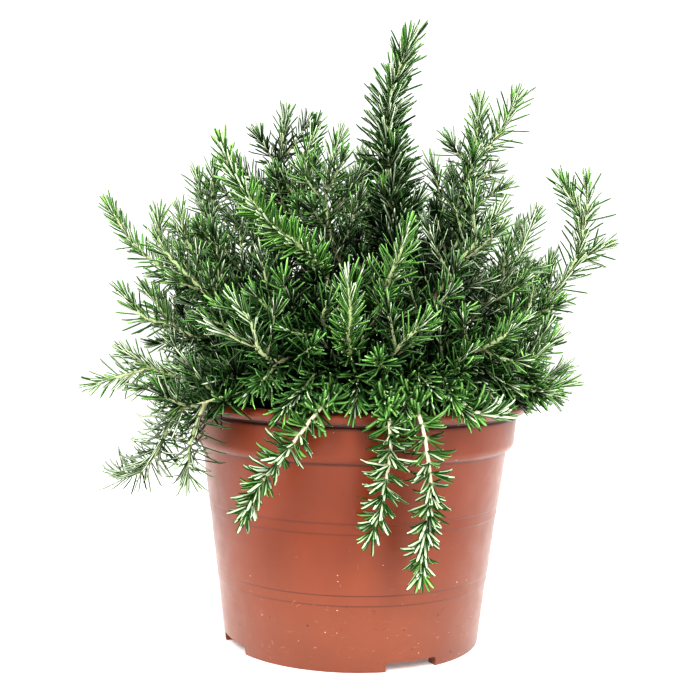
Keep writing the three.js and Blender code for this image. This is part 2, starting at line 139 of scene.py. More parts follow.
def lay_over(tree: Tree, base: Socket | str, *layers: Layer) -> Socket:
    """Lays colours over a base colour, each through its own mask.

    Args:
        tree: The node tree.
        base: The base colour, as hex or as an output.
        layers: The mask and the colour of each layer, from the lowest one up.

    Returns:
        The colour on top.
    """
    for mask, colour in layers:
        low, high = (linear(each) if isinstance(each, str) else each for each in (base, colour))
        base = add_node(tree, "Mix", {0: mask, 6: low, 7: high}, data_type="RGBA")[2]
    return base


# Finishes


class Finish:
    """The finish of one real material: patterns that feed a single Principled shader."""

    NAME = ""

    def sockets(self, tree: Tree, place: Socket) -> Sockets:
        """Makes the patterns.

        Args:
            tree: The material's node tree.
            place: The place on the object.

        Returns:
            A value, or an output to link, for each of the shader's sockets.
        """
        raise NotImplementedError

    def material(self) -> bpy.types.Material:
        """Builds the material."""
        material = bpy.data.materials.new(self.NAME)
        material.use_nodes = True
        tree = material.node_tree
        tree.nodes.clear()
        place = add_node(tree, "TexCoord")["Object"]
        surface = add_node(tree, "BsdfPrincipled", self.sockets(tree, place))["BSDF"]
        add_node(tree, "OutputMaterial", {"Surface": surface})
        return material


@dataclass(frozen=True)
class MouldedPolypropylene(Finish):
    """Injection-moulded polypropylene, satin, with the dust and scuffs of a nursery bench.

    The eye sees an even terracotta with a soft sheen that turns pale towards the outline,
    painted shade in the creases, and bright and dark specks that gather low down. A crease is its
    height, how far its painted shade reaches and how dark it is. Grit is whether it is bright, its
    spacing, its radius as a share of that, and how rare it is.
    """

    NAME = "moulded_polypropylene"
    colour: str = "#7E340C"
    low_colour: str = "#8A4D36"
    scuff: str = "#D9A893"
    # Painted shade for the creases.
    crease_shade: str = "#36100A"
    speck: str = "#F0DCCF"
    dirt: str = "#4A2A1E"
    height: float = 133.0
    creases: tuple[Point, ...] = (
        (34.7, 0.5, 0.65), (40.0, 0.5, 0.65), (71.3, 0.5, 0.65), (76.7, 0.5, 0.65),
        (106.4, 1.1, 0.85), (125.3, 2.6, 1.0),
    )
    grit: tuple[tuple[bool, float, float, float], ...] = (
        (True, 6.0, 0.045, 0.74), (False, 7.0, 0.06, 0.8), (True, 3.2, 0.08, 0.84),
        (False, 4.0, 0.09, 0.9), (True, 21.0, 0.019, 0.5), (False, 19.0, 0.03, 0.5),
    )
    # The paler colour low down, and the wear, fade out between these two heights, in metres.
    low_colour_and_wear_fades: tuple[float, float] = (0.02, 0.07)
    blotch_size: float = 28.0
    wear_size: float = 9.0
    wave_size: float = 22.0
    # The mould's real grain is too fine to show, so it is drawn coarser.
    grain_size: float = 0.9

    def sockets(self, tree: Tree, place: Socket) -> Sockets:
        """Lays the wear over the plastic, and gives its skin a faint grain and wave."""
        height = add_node(tree, "SeparateXYZ", [place])["Z"]
        low = add_node(tree, "MapRange", [height, *self.low_colour_and_wear_fades, 1.0, 0.0])[0]
        blotch, worn, grain, wave = (
            add_node(tree, "TexNoise", {"Vector": place, "Scale": per(size), "Detail": detail})[0]
            for size, detail in (
                (self.blotch_size, 3.0), (self.wear_size, 4.0), (self.grain_size, 2.0),
                (self.wave_size, 1.0),
            )
        )
        shade = add_node(tree, "MapRange", [blotch, 0.3, 0.7, 0.94, 1.06])[0]
        # The pot is paler towards the bottom.
        base = lay_over(tree, self.colour, (low, self.low_colour))
        base = add_node(tree, "HueSaturation", {"Value": shade, "Color": base})[0]
        marks = [
            self._scuffs(tree, place, low), *self._scratches(tree, place, low),
            # The last mark is painted shade in the creases.
            *self._specks(tree, place, low), self._painted_crease_shade(tree, height),
        ]
        rough = add_node(tree, "MapRange", [worn, 0.3, 0.7, 0.34, 0.48])[0]
        fine = add_node(tree, "Bump", {"Height": grain, "Strength": 0.1, "Distance": 0.0002})[0]
        bump = add_node(
            tree, "Bump", {"Height": wave, "Strength": 0.25, "Distance": 0.0008, "Normal": fine}
        )[0]
        return {
            "Base Color": lay_over(tree, base, *marks), "Roughness": rough, "Normal": bump,
            "IOR": 1.52, "Sheen Weight": 0.42, "Sheen Roughness": 0.4,
        }

    def _scuffs(self, tree: Tree, place: Socket, low: Socket) -> Layer:
        """Rubs pale scuffs that lie flat into the lower third."""
        flat = add_node(tree, "Mapping", {"Vector": place, "Scale": (1.0, 1.0, 7.0)})[0]
        rub = add_node(
            tree, "TexNoise", {"Vector": flat, "Scale": per(5), "Detail": 5.0, "Roughness": 0.7}
        )[0]
        mask = add_node(tree, "MapRange", [rub, 0.635, 0.735, 0.0, 0.5])[0]
        return add_node(tree, "Math", [mask, low], operation="MULTIPLY")[0], self.scuff

    def _scratches(self, tree: Tree, place: Socket, low: Socket) -> Iterator[Layer]:
        """Draws short curved scratches, pale and dark, along the contours of a noise."""
        for colour, size, strength in ((self.scuff, 11, 0.4), (self.dirt, 15, 0.5)):
            relief, chance = (
                add_node(tree, "TexNoise", {"Vector": place, "Scale": per(apart), "Detail": detail})[0]
                for apart, detail in ((size, 1.0), (size / 2, 2.0))
            )
            mask = add_node(tree, "Math", [relief, 0.5, 0.006], operation="COMPARE")[0]
            kept = add_node(tree, "MapRange", [chance, 0.605, 0.67, 0.0, strength])[0]
            for other in (kept, low):
                mask = add_node(tree, "Math", [mask, other], operation="MULTIPLY")[0]
            yield mask, colour

    def _specks(self, tree: Tree, place: Socket, low: Socket) -> Iterator[Layer]:
        """Scatters ragged grit and crumbs of dirt that gather in patches low down."""
        noises = [
            add_node(tree, "TexNoise", {"Vector": place, "Scale": per(size), "Detail": detail})
            for size, detail in ((1.1, 1.0), (24, 2.0))
        ]
        shake, patches = noises[0]["Color"], noises[1][0]
        ragged = add_node(tree, "VectorMath", [shake, (MM, MM, MM), place], operation="MULTIPLY_ADD")[0]
        patch = add_node(tree, "MapRange", [patches, 0.46, 0.6, 0.25, 1.0])[0]
        crowd = add_node(tree, "Math", [patch, low], operation="MULTIPLY")[0]
        for bright, spacing, radius, rare in self.grit:
            cell = add_node(tree, "TexVoronoi", {"Vector": ragged, "Scale": per(spacing)})
            near = add_node(tree, "Math", [cell["Distance"], radius], operation="LESS_THAN")[0]
            luck = add_node(tree, "SeparateXYZ", [cell["Color"]])[0]
            bar = add_node(tree, "MapRange", [crowd, 0.0, 1.0, 0.975, rare])[0]
            chosen = add_node(tree, "Math", [luck, bar], operation="GREATER_THAN")[0]
            mask = add_node(tree, "Math", [near, chosen], operation="MULTIPLY")[0]
            yield mask, self.speck if bright else self.dirt

    def _painted_crease_shade(self, tree: Tree, height: Socket) -> Layer:
        """Paints shade into the creases of the step lines, the collar and the lip."""
        share = add_node(tree, "MapRange", [height, 0.0, self.height * MM])[0]
        unshaded = (0.0, 0.0, 0.0, 1.0)
        stops = [(0.0, unshaded), (1.0, unshaded)]
        for crease, half, strength in self.creases:
            dark = (strength, strength, strength, 1.0)
            for offset, tone in ((-half, unshaded), (0.0, dark), (half, unshaded)):
                stops.append(((crease + offset) / self.height, tone))
        return add_node(tree, "ValToRGB", [share], stops)[0], self.crease_shade


@dataclass(frozen=True)
class PeatMix(Finish):
    """Moist milled peat: nearly black crumbs with brown fibres, and no shine at all."""

    NAME = "milled_peat"
    dark: str = "#1A120C"
    brown: str = "#4A3424"
    crumb_size: float = 2.2

    def sockets(self, tree: Tree, place: Socket) -> Sockets:
        """Browns the raised crumbs."""
        crumb = add_node(
            tree, "TexNoise", {"Vector": place, "Scale": per(self.crumb_size), "Detail": 6.0}
        )[0]
        stops = ((0.35, linear(self.dark)), (0.72, linear(self.brown)))
        bump = add_node(tree, "Bump", {"Height": crumb, "Strength": 0.9, "Distance": 0.0012})[0]
        return {
            "Base Color": add_node(tree, "ValToRGB", [crumb], stops)[0], "Normal": bump,
            "Roughness": 0.95, "Specular IOR Level": 0.2,
        }


@dataclass(frozen=True)
class ExpandedPerlite(Finish):
    """Expanded perlite: chalk-white popped glass with fine pores, bright against the peat."""

    NAME = "expanded_perlite"
    colour: str = "#E9E5DB"
    pore: str = "#B9B2A4"
    # The real pores are too fine to show, so they are drawn coarser.
    pore_size: float = 0.5

    def sockets(self, tree: Tree, place: Socket) -> Sockets:
        """Darkens and sinks the pores."""
        pores = add_node(tree, "TexVoronoi", {"Vector": place, "Scale": per(self.pore_size)})[0]
        stops = ((0.05, linear(self.pore)), (0.4, linear(self.colour)))
        bump = add_node(tree, "Bump", {"Height": pores, "Strength": 0.6, "Distance": 0.0003})[0]
        colour = add_node(tree, "ValToRGB", [pores], stops)[0]
        return {"Base Color": colour, "Normal": bump, "Roughness": 0.9}


@dataclass(frozen=True)
class RosemaryBark(Finish):
    """Bark of old rosemary wood: grey-brown, split lengthways into flakes, quite matt."""

    NAME = "rosemary_bark"
    young: str = "#A98F6C"
    old: str = "#6E5945"
    fissure: str = "#33261C"
    flake_size: float = 1.3

    def sockets(self, tree: Tree, place: Socket) -> Sockets:
        """Splits the bark along the stem, whose age is the second part of growth."""
        growth = add_node(tree, "Attribute", attribute_name="growth")["Vector"]
        age = add_node(tree, "SeparateXYZ", [growth])["Y"]
        lengthways = add_node(tree, "Mapping", {"Vector": place, "Scale": (1.0, 1.0, 0.22)})[0]
        pattern = {"Scale": per(self.flake_size), "Detail": 5.0, "Roughness": 0.65}
        flakes = add_node(tree, "TexNoise", {"Vector": lengthways, **pattern})[0]
        split = add_node(tree, "MapRange", [flakes, 0.36, 0.52, 1.0, 0.0])[0]
        bump = add_node(tree, "Bump", {"Height": flakes, "Strength": 0.8, "Distance": 0.0007})[0]
        return {
            "Base Color": lay_over(tree, self.young, (age, self.old), (split, self.fissure)),
            "Normal": bump, "Roughness": 0.88, "Specular IOR Level": 0.3,
        }


@dataclass(frozen=True)
class DownyShoot(Finish):
    """The downy skin of this year's shoots: cream-green near the tip, tan where it ripens.

    Fine white down scatters the light, so it looks pale and soft with no highlight.
    """

    NAME = "downy_shoot"
    tip: str = "#C3D09C"
    middle: str = "#D0D2A8"
    ripe: str = "#7C7350"
    sunned: str = "#E6DDC6"
    # Painted shade for stems deep in the bush and on minor shoots.
    shaded: str = "#23281A"
    mottle_size: float = 1.6

    def sockets(self, tree: Tree, place: Socket) -> Sockets:
        """Colours the shoot by its growth: its blush, its age, and painted shade deep in the bush."""
        growth = add_node(tree, "Attribute", attribute_name="growth")["Vector"]
        blush, age, shade = add_node(tree, "SeparateXYZ", [growth])
        mottle = add_node(
            tree, "TexNoise", {"Vector": place, "Scale": per(self.mottle_size), "Detail": 3.0}
        )[0]
        wander = add_node(tree, "MapRange", [mottle, 0.3, 0.7, -0.12, 0.12])[0]
        ripeness = add_node(tree, "Math", [age, wander], operation="ADD")[0]
        stops = ((0.05, linear(self.tip)), (0.95, linear(self.ripe)), (0.5, linear(self.middle)))
        skin = add_node(tree, "ValToRGB", [ripeness], stops)[0]
        bump = add_node(tree, "Bump", {"Height": mottle, "Strength": 0.4, "Distance": 0.0003})[0]
        return {
            "Base Color": lay_over(tree, skin, (blush, self.sunned), (shade, self.shaded)),
            "Normal": bump, "Roughness": 0.75, "Sheen Weight": 0.2, "Specular IOR Level": 0.3,
        }


@dataclass(frozen=True)
class RosemaryLeaf(Finish):
    """The leathery rosemary leaf: dark glossy green above, white felt under rolled green edges.

    The two sides make a shoot look striped: dark where leaves show their upper side, and
    cream where they show the felt. The leaf attribute holds the place across and along the
    leaf and how far under it lies; growth holds the leaf's tone, with painted shade deep in the
    bush, its age and if it died.
    """

    NAME = "rosemary_leaf"
    young: str = "#7CAA62"
    old: str = "#113B16"
    midrib: str = "#B4CC98"
    felt: str = "#D4DFC4"
    edge: str = "#224F1D"
    dead: str = "#8C7434"
    # Painted shade along the rolled edges of the upper side.
    rim: str = "#0F2C11"
    base: str = "#C6D2AC"
    depth_of_green: float = 1.05
    brightest_felt: float = 1.0
    # The wrinkles of a real leaf are too fine to show, so they are drawn coarser.
    wrinkle_size: float = 0.8

    def sockets(self, tree: Tree, place: Socket) -> Sockets:
        """Colours the leaf's two sides, its midrib, painted shade along its rolled edges and its pale
        foot.
        """
        leaf, growth = (
            add_node(tree, "Attribute", attribute_name=name)["Vector"] for name in ("leaf", "growth")
        )
        across, far, under = add_node(tree, "SeparateXYZ", [leaf])
        tone, age, dead = add_node(tree, "SeparateXYZ", [growth])
        middle = add_node(tree, "Math", [across], operation="ABSOLUTE")[0]
        rib, rolled, margin, side, foot, paling, value, hue = (
            add_node(tree, "MapRange", limits)[0]
            for limits in (
                [middle, 0.0, 0.22, 0.4, 0.0], [middle, 0.5, 0.9, 0.0, 0.85],
                [middle, 0.46, 0.64, 0.0, 1.0], [under, 0.4, 0.75, 0.0, 1.0],
                [far, 0.0, 0.3, 1.0, 0.0], [tone, 0.35, 0.75, 0.05, 0.6],
                [tone, 0.0, 1.0, 0.12, 2.05], [tone, 0.0, 1.0, 0.515, 0.485],
            )
        )
        foot = add_node(tree, "Math", [foot, paling], operation="MULTIPLY")[0]
        dimmed = add_node(tree, "Math", [value, self.brightest_felt], operation="MINIMUM")[0]
        value = add_node(tree, "Mix", {0: side, 2: value, 3: dimmed})[0]
        # The rim layer is painted shade along the rolled edges.
        upper = lay_over(tree, self.young, (age, self.old), (rib, self.midrib), (rolled, self.rim))
        lower = lay_over(tree, self.felt, (margin, self.edge))
        colour = lay_over(tree, upper, (side, lower), (foot, self.base))
        colour = add_node(
            tree, "HueSaturation",
            {"Hue": hue, "Saturation": self.depth_of_green, "Value": value, "Color": colour},
        )[0]
        rough = add_node(tree, "MapRange", [side, 0.0, 1.0, 0.46, 0.85])[0]
        wrinkle = add_node(
            tree, "TexNoise", {"Vector": place, "Scale": per(self.wrinkle_size), "Detail": 2.0}
        )[0]
        bump = add_node(tree, "Bump", {"Height": wrinkle, "Strength": 0.35, "Distance": 0.0002})[0]
        return {
            "Base Color": lay_over(tree, colour, (dead, self.dead)), "Roughness": rough,
            "Normal": bump, "Specular IOR Level": 0.16,
        }


@dataclass(frozen=True)
class PaleFloor(Finish):
    """A matt, near-white studio floor that shows only the soft shadow under the pot.

    It glows a little, as a backdrop does that is lit from behind too, so no horizon shows.
    """

    NAME = "matt_floor"
    colour: str = "#FDFDFC"
    glow: float = 0.16

    def sockets(self, tree: Tree, place: Socket) -> Sockets:
        """Gives the floor its one colour and its glow."""
        return {
            "Base Color": linear(self.colour), "Roughness": 0.9, "Specular IOR Level": 0.1,
            "Emission Strength": self.glow,
        }


# Lines and lofts


def unit(vector: np.ndarray) -> np.ndarray:
    """The direction of a vector."""
    return vector / np.linalg.norm(vector)


def mix(low: float, high: float, share: float) -> float:
    """The value at a share of the way from low to high."""
    return low + (high - low) * share


@dataclass(frozen=True)
class Line:
    """A smooth line with, at each of its even samples, directions that barely turn."""

    points: np.ndarray
    along: np.ndarray
    side: np.ndarray
    across: np.ndarray
    step: float

    @classmethod
    def through(cls, route: Sequence[Sequence[float]], step: float = 1.0) -> "Line":
        """Runs a centripetal Catmull-Rom curve through a route's points.

        Args:
            route: The points, in millimetres.
            step: About how far apart the samples are.

        Returns:
            The line.
        """
        points = np.array(route, float)
        points = np.vstack([2 * points[0] - points[1], points, 2 * points[-1] - points[-2]])
        dense = [points[1:2]]
        t = np.linspace(0, 1, 25)[1:, None]
        for p0, p1, p2, p3 in zip(points, points[1:], points[2:], points[3:]):
            d0, d1, d2 = (math.sqrt(np.linalg.norm(q - p)) for p, q in ((p0, p1), (p1, p2), (p2, p3)))
            leave = ((p1 - p0) / d0 - (p2 - p0) / (d0 + d1) + (p2 - p1) / d1) * d1
            reach = ((p2 - p1) / d1 - (p3 - p1) / (d1 + d2) + (p3 - p2) / d2) * d1
            dense.append(
                p1 + leave * t + (3 * (p2 - p1) - 2 * leave - reach) * t**2
                + (2 * (p1 - p2) + leave + reach) * t**3
            )
        curve = np.vstack(dense)
        far = np.concatenate([[0], np.cumsum(np.linalg.norm(np.diff(curve, axis=0), axis=1))])
        count = max(3, round(far[-1] / step))
        even = np.linspace(0, far[-1], count + 1)
        points = np.stack([np.interp(even, far, curve[:, k]) for k in range(3)], axis=1)
        return cls.along_points(points, far[-1] / count)

    @classmethod
    def along_points(cls, points: np.ndarray, step: float) -> "Line":
        """Works out the directions of a row of even points."""
        along = np.gradient(points, axis=0)
        along /= np.linalg.norm(along, axis=1)[:, None]
        side = np.array([1.0, 0, 0]) if abs(along[0][1]) > 0.8 else np.array([0, 1.0, 0])
        sides = []
        for direction in along:
            side = unit(side - direction * side.dot(direction))
            sides.append(side)
        side = np.array(sides)
        return cls(points, along, side, np.cross(along, side), step)

    @property
    def length(self) -> float:
        """The line's length in millimetres."""
        return self.step * (len(self.points) - 1)

    def sample(self, distance: float) -> int:
        """The sample at a distance from the line's start."""
        return min(len(self.points) - 1, max(0, round(distance / self.step)))

    def outward(self, index: int, turn: float) -> np.ndarray:
        """The direction away from the line at a sample and an angle about it."""
        return self.side[index] * math.cos(turn) + self.across[index] * math.sin(turn)


def loft(bm: BMesh, rings: Sequence[np.ndarray]) -> list[bmesh.types.BMVert]:
    """Extrudes a capped ring of points through further rings into one closed tube.

    Args:
        bm: The mesh that the tube is added to.
        rings: The corners of each ring, in the same order.

    Returns:
        The new vertices.
    """
    corner = bm.verts.layers.int.get("corner") or bm.verts.layers.int.new("corner")
    verts = bmesh.ops.create_circle(bm, cap_ends=True, radius=1, segments=len(rings[0]))["verts"]
    for k, vert in enumerate(verts):
        vert[corner] = k
    face = verts[0].link_faces[0]
    made = []
    for row, ring in enumerate(rings):
        if row:
            grown = bmesh.ops.extrude_face_region(bm, geom=[face])["geom"]
            if row > 1:
                bmesh.ops.delete(bm, geom=[face], context="FACES_ONLY")
            verts = [g for g in grown if isinstance(g, bmesh.types.BMVert)]
            face = next(g for g in grown if isinstance(g, bmesh.types.BMFace))
        for vert in verts:
            vert.co = ring[vert[corner]]
        made += verts
    return made


def tube_rings(line: Line, radii: Sequence[float], spacing: float, sides: int) -> list[np.ndarray]:
    """The rings of a round tube along a line.

    Args:
        line: The tube's middle line.
        radii: Its radius at the start and at the end.
        spacing: About how far apart the rings are.
        sides: The corners of each ring.

    Returns:
        The corners of each ring.
    """
    count = max(2, round(line.length / spacing))
    turns = np.arange(sides) * 2 * math.pi / sides
    rings = []
    for row in range(count + 1):
        index = line.sample(line.length * row / count)
        radius = mix(radii[0], radii[-1], row / count)
        spokes = [line.outward(index, turn) * radius for turn in turns]
        rings.append(line.points[index] + np.array(spokes))
    return rings


def draw_section(outline: Sequence[Sequence[float]]) -> tuple[BMesh, list[bmesh.types.BMVert]]:
    """Draws a half section as a wire.

    Args:
        outline: The radius and the height of each corner, and perhaps more.

    Returns:
        The mesh, and its corners in order.
    """
    bm = bmesh.new()
    verts = [bm.verts.new((corner[0], 0, corner[1])) for corner in outline]
    for low, high in zip(verts, verts[1:]):
        bm.edges.new((low, high))
    return bm, verts


def spin_section(bm: BMesh, segments: int) -> None:
    """Spins a half section right round into one closed body."""
    bmesh.ops.spin(
        bm, geom=[*bm.verts, *bm.edges], cent=(0, 0, 0), axis=(0, 0, 1), dvec=(0, 0, 0),
        angle=2 * math.pi, steps=segments, use_merge=True,
    )
    bmesh.ops.remove_doubles(bm, verts=bm.verts, dist=MERGE_DISTANCE)
    bmesh.ops.recalc_face_normals(bm, faces=bm.faces)


def finish_piece(name: str, bm: BMesh, materials: Sequence[bpy.types.Material]) -> bpy.types.Object:
    """Turns a mesh in millimetres into an object in metres.

    Args:
        name: The piece's name.
        bm: Its mesh, which is used up.
        materials: Its materials, by slot.

    Returns:
        The piece's object.
    """
    corner = bm.verts.layers.int.get("corner")
    if corner:
        bm.verts.layers.int.remove(corner)
    bmesh.ops.scale(bm, vec=(MM, MM, MM), verts=bm.verts)
    mesh = bpy.data.meshes.new(name)
    bm.to_mesh(mesh)
    bm.free()
    for material in materials:
        mesh.materials.append(material)
    piece = bpy.data.objects.new(name, mesh)
    bpy.context.scene.collection.objects.link(piece)
    return piece


def seat_piece(piece: bpy.types.Object, slot: str, *nodes: str) -> None:
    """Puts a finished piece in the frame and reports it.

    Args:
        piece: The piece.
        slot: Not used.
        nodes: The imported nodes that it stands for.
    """
    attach(piece, BODY)
    if nodes:
        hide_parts(*nodes)
    triangles = sum(len(p.vertices) - 2 for p in piece.data.polygons)
    log.info("%s: %d triangles", piece.name, triangles)


def cut_away(target: bpy.types.Object, cutter: bpy.types.Object) -> None:
    """Cuts one solid out of another, and removes the one that cuts."""
    modifier = target.modifiers.new("cut", "BOOLEAN")
    modifier.operation = "DIFFERENCE"
    modifier.solver = "EXACT"
    modifier.object = cutter
    graph = bpy.context.evaluated_depsgraph_get()
    cut = bpy.data.meshes.new_from_object(target.evaluated_get(graph))
    target.modifiers.clear()
    target.data = cut
    bpy.data.objects.remove(cutter)


# The pot


@dataclass
class NurseryPot:
    """The moulded pot: a stepped, tapered wall with a collar, a flared lip and a notched foot.

    The shoulder and the top of the collar are each a radius and a height. The photo shows the
    outside; the floor with its drainage holes is the usual one for a pot of this size.
    """

    finish: MouldedPolypropylene = field(default_factory=MouldedPolypropylene)
    wall: float = 1.8
    floor_draft: float = 0.5
    foot_radius: float = 70.0
    foot_width: float = 7.0
    base_under: float = 6.0
    base_top: float = 8.0
    shoulder: tuple[float, float] = (83.6, 106.3)
    collar_top: tuple[float, float] = (88.7, 124.2)
    lip_radius: float = 95.0
    height: float = 133.0
    step_lines: tuple[float, ...] = (34.4, 39.7, 71.0, 76.4)
    step_depth: float = 0.28
    step_height: float = 0.6
    segments: int = 160
    notch_count: int = 4
    notch_turn: float = 26.7
    notch_size: tuple[float, float] = (29.0, 4.9)
    notch_round: float = 1.6
    drain_count: int = 6
    drain_ring: float = 46.0
    drain_radius: float = 5.5

    def wall_radius(self, height: float) -> float:
        """The outside radius of the tapered wall at a height."""
        return mix(self.foot_radius, self.shoulder[0], height / self.shoulder[1])

    def outline(self) -> list[Point]:
        """The pot's half section.

        Returns:
            The radius and height of each corner, from the middle of the underside round the
            outside and inside to the middle of the floor, and how far each is rounded.
        """
        inner = self.foot_radius - self.foot_width
        points = [
            (0, self.base_under, 0), (inner, self.base_under, 0.6), (inner, 0, 0.4),
            (self.foot_radius, 0, 0.6),
        ]
        for low in self.step_lines:
            high = low + self.step_height
            points.append((self.wall_radius(low) - self.step_depth, low, 0.12))
            points.append((self.wall_radius(high), high, 0.25))
        floor_radius = self.wall_radius(self.base_top) - self.wall - self.floor_draft
        return points + [
            (*self.shoulder, 0.9), (86.4, 108.0, 0.8), (87.6, 110.5, 1.0), (*self.collar_top, 0.3),
            (88.1, 125.2, 0.2), (88.4, 126.2, 0.2), (92.8, 127.1, 0.8),
            (self.lip_radius, 130.0, 1.2), (94.2, 132.0, 0.9), (91.5, self.height, 1.0),
            (89.0, 132.0, 1.0), (86.9, 124.5, 1.0), (85.8, 111.4, 0.8), (84.6, 108.9, 0.6),
            (81.8, 107.2, 0.8), (floor_radius, self.base_top, 1.2), (0, self.base_top, 0),
        ]

    def is_clear(self, point: np.ndarray, margin: float, soil_top: float) -> bool:
        """Tells whether a point is clear of the pot and the soil.

        Args:
            point: The place, in millimetres.
            margin: How far it has to be away.
            soil_top: The height of the soil there.

        Returns:
            True if it is.
        """
        height = point[2]
        if height > self.height + margin:
            return True
        radius = math.hypot(point[0], point[1])
        outer = self.wall_radius(height)
        if height > self.shoulder[1] - margin:
            outer = self.collar_top[0]
        if height > self.collar_top[1] - margin:
            outer = self.lip_radius
        if radius > outer + margin:
            return True
        return radius < self.shoulder[0] + 1 and height > soil_top + margin

    def _section(self) -> BMesh:
        """Draws the half section as a wire and rounds its corners."""
        outline = self.outline()
        bm, verts = draw_section(outline)
        for rounding in sorted({corner[2] for corner in outline if corner[2]}):
            chosen = [vert for vert, corner in zip(verts, outline) if corner[2] == rounding]
            bmesh.ops.bevel(
                bm, geom=chosen, offset=rounding, offset_type="OFFSET", segments=3,
                profile=0.5, affect="VERTICES", material=-1,
            )
        return bm

    def _notch_cutter(self) -> bpy.types.Object:
        """The blocks that cut the foot's notches, with rounded upper corners."""
        bm = bmesh.new()
        width, height = self.notch_size
        for number in range(self.notch_count):
            verts = bmesh.ops.create_cube(bm, size=1)["verts"]
            bmesh.ops.scale(bm, vec=(width, 4 * self.foot_width, 2 * height), verts=verts)
            edges = {e for vert in verts for e in vert.link_edges}
            top = [
                e for e in edges
                if abs(e.verts[0].co.y - e.verts[1].co.y) > self.foot_width and e.verts[0].co.z > 0
            ]
            bent = bmesh.ops.bevel(
                bm, geom=top, offset=self.notch_round, offset_type="OFFSET", segments=4,
                profile=0.5, affect="EDGES", material=-1,
            )
            verts = [v for v in {*verts, *bent["verts"]} if v.is_valid]
            bmesh.ops.translate(bm, vec=(0, -self.foot_radius, 0), verts=verts)
            turn = math.radians(self.notch_turn + 360 * number / self.notch_count)
            bmesh.ops.rotate(bm, cent=(0, 0, 0), matrix=Matrix.Rotation(turn, 3, "Z"), verts=verts)
        return finish_piece("notch_cutter", bm, ())

    def _drain_cutter(self) -> bpy.types.Object:
        """The plugs that cut the drainage holes."""
        bm = bmesh.new()
        for number in range(self.drain_count):
            turn = 2 * math.pi * number / self.drain_count
            x, y = self.drain_ring * math.cos(turn), self.drain_ring * math.sin(turn)
            bmesh.ops.create_cone(
                bm, cap_ends=True, segments=32, radius1=self.drain_radius,
                radius2=self.drain_radius, depth=self.base_top,
                matrix=Matrix.Translation((x, y, self.base_top)),
            )
        return finish_piece("drain_cutter", bm, ())

    def build(self) -> None:
        """Turns the section into the pot, cuts its foot and floor, and dresses it."""
        bm = self._section()
        spin_section(bm, self.segments)
        pot = finish_piece("nursery_pot", bm, ())
        for cutter in (self._notch_cutter(), self._drain_cutter()):
            cut_away(pot, cutter)
        pot.data.materials.append(self.finish.material())
        pot.data.shade_smooth()
        pot.data.set_sharp_from_angle(angle=SMOOTH_ANGLE)
        seat_piece(pot, "pot", "pot")


# The soil


@dataclass
class Soil:
    """The peat that fills the pot, with loose crumbs and perlite grains on top of it."""

    pot: NurseryPot
    peat: PeatMix = field(default_factory=PeatMix)
    perlite: ExpandedPerlite = field(default_factory=ExpandedPerlite)
    top: float = 126.0
    relief: float = 2.4
    lump_size: float = 11.0
    gap: float = 0.4
    segments: int = 96
    ring_spacing: float = 3.0
    crumbs: int = 420
    crumb_radii: tuple[float, float] = (0.7, 3.0)
    grains: int = 130
    grain_radii: tuple[float, float] = (0.6, 2.0)
    raised: float = 0.35
    seed: int = 7

    def height_at(self, x: float, y: float) -> float:
        """The height of the uneven soil at a place."""
        broad = noise.noise(Vector((x, y, 0)) / self.lump_size)
        fine = noise.noise(Vector((x, y, 9)) * 3.1 / self.lump_size)
        return self.top + self.relief * (0.75 * broad + 0.25 * fine)

    def _body(self) -> BMesh:
        """The closed body of the peat, from the pot's floor to the uneven top."""
        inset = self.pot.wall + self.pot.step_depth + self.gap
        bottom = self.pot.base_top + self.gap
        edge = self.pot.collar_top[0] - inset
        outline = [(0, bottom), (self.pot.wall_radius(bottom) - inset, bottom)]
        outline += [(81.0, 108.0), (83.4, 111.0), (edge, self.pot.collar_top[1])]
        rings = int(edge / self.ring_spacing)
        outline += [(self.ring_spacing * ring, self.top) for ring in range(rings, -1, -1)]
        bm, _ = draw_section(outline)
        spin_section(bm, self.segments)
        for vert in bm.verts:
            if abs(vert.co.z - self.top) < MERGE_DISTANCE:
                vert.co.z = self.height_at(vert.co.x, vert.co.y)
        return bm

    def _lumps(
        self, bm: BMesh, count: int, sizes: tuple[float, float], facets: int, rng: Random
    ) -> None:
        """Scatters rough lumps that sit in the soil.

        Args:
            bm: The mesh that they are added to.
            count: How many there are.
            sizes: The least and the greatest radius.
            facets: The subdivisions of a lump.
            rng: The source of the scatter.
        """
        reach = self.pot.shoulder[0] - 2
        for _ in range(count):
            radius = mix(*sizes, rng.random() ** 2)
            far, turn = reach * math.sqrt(rng.random()), rng.uniform(0, 2 * math.pi)
            x, y = far * math.cos(turn), far * math.sin(turn)
            place = Vector((x, y, self.height_at(x, y) + self.raised * radius))
            lump = bmesh.ops.create_icosphere(bm, subdivisions=facets, radius=radius)["verts"]
            shape = Matrix.Diagonal(Vector(rng.uniform(0.65, 1.3, 3)))
            for vert in lump:
                vert.co = shape @ vert.co * rng.uniform(0.82, 1.15) + place

    def build(self) -> None:
        """Builds the peat with its crumbs, and the perlite."""
        rng = np.random.default_rng(self.seed)
        bm = self._body()
        self._lumps(bm, self.crumbs, self.crumb_radii, 1, rng)
        peat = finish_piece("peat", bm, [self.peat.material()])
        peat.data.shade_smooth()
        seat_piece(peat, "soil", "soil")
        bm = bmesh.new()
        self._lumps(bm, self.grains, self.grain_radii, 2, rng)
        seat_piece(finish_piece("perlite", bm, [self.perlite.material()]), "soil")


# Plans of the plant


@dataclass(frozen=True)
class Growth:
    """How a shoot is set with leaves: lengths in millimetres, angles in degrees.

    Tuft is how many small leaves stand in each axil, and lift how far a leaf curves upwards.
    A fine shoot is pale, has the rolled blade on its small leaves too and no side shoots.
    """

    spacing: float
    leaf: float
    old_angle: float
    young_angle: float
    tuft: int
    lift: float
    width: float = 1.55
    twist: float = 0.25
    fine: bool = False


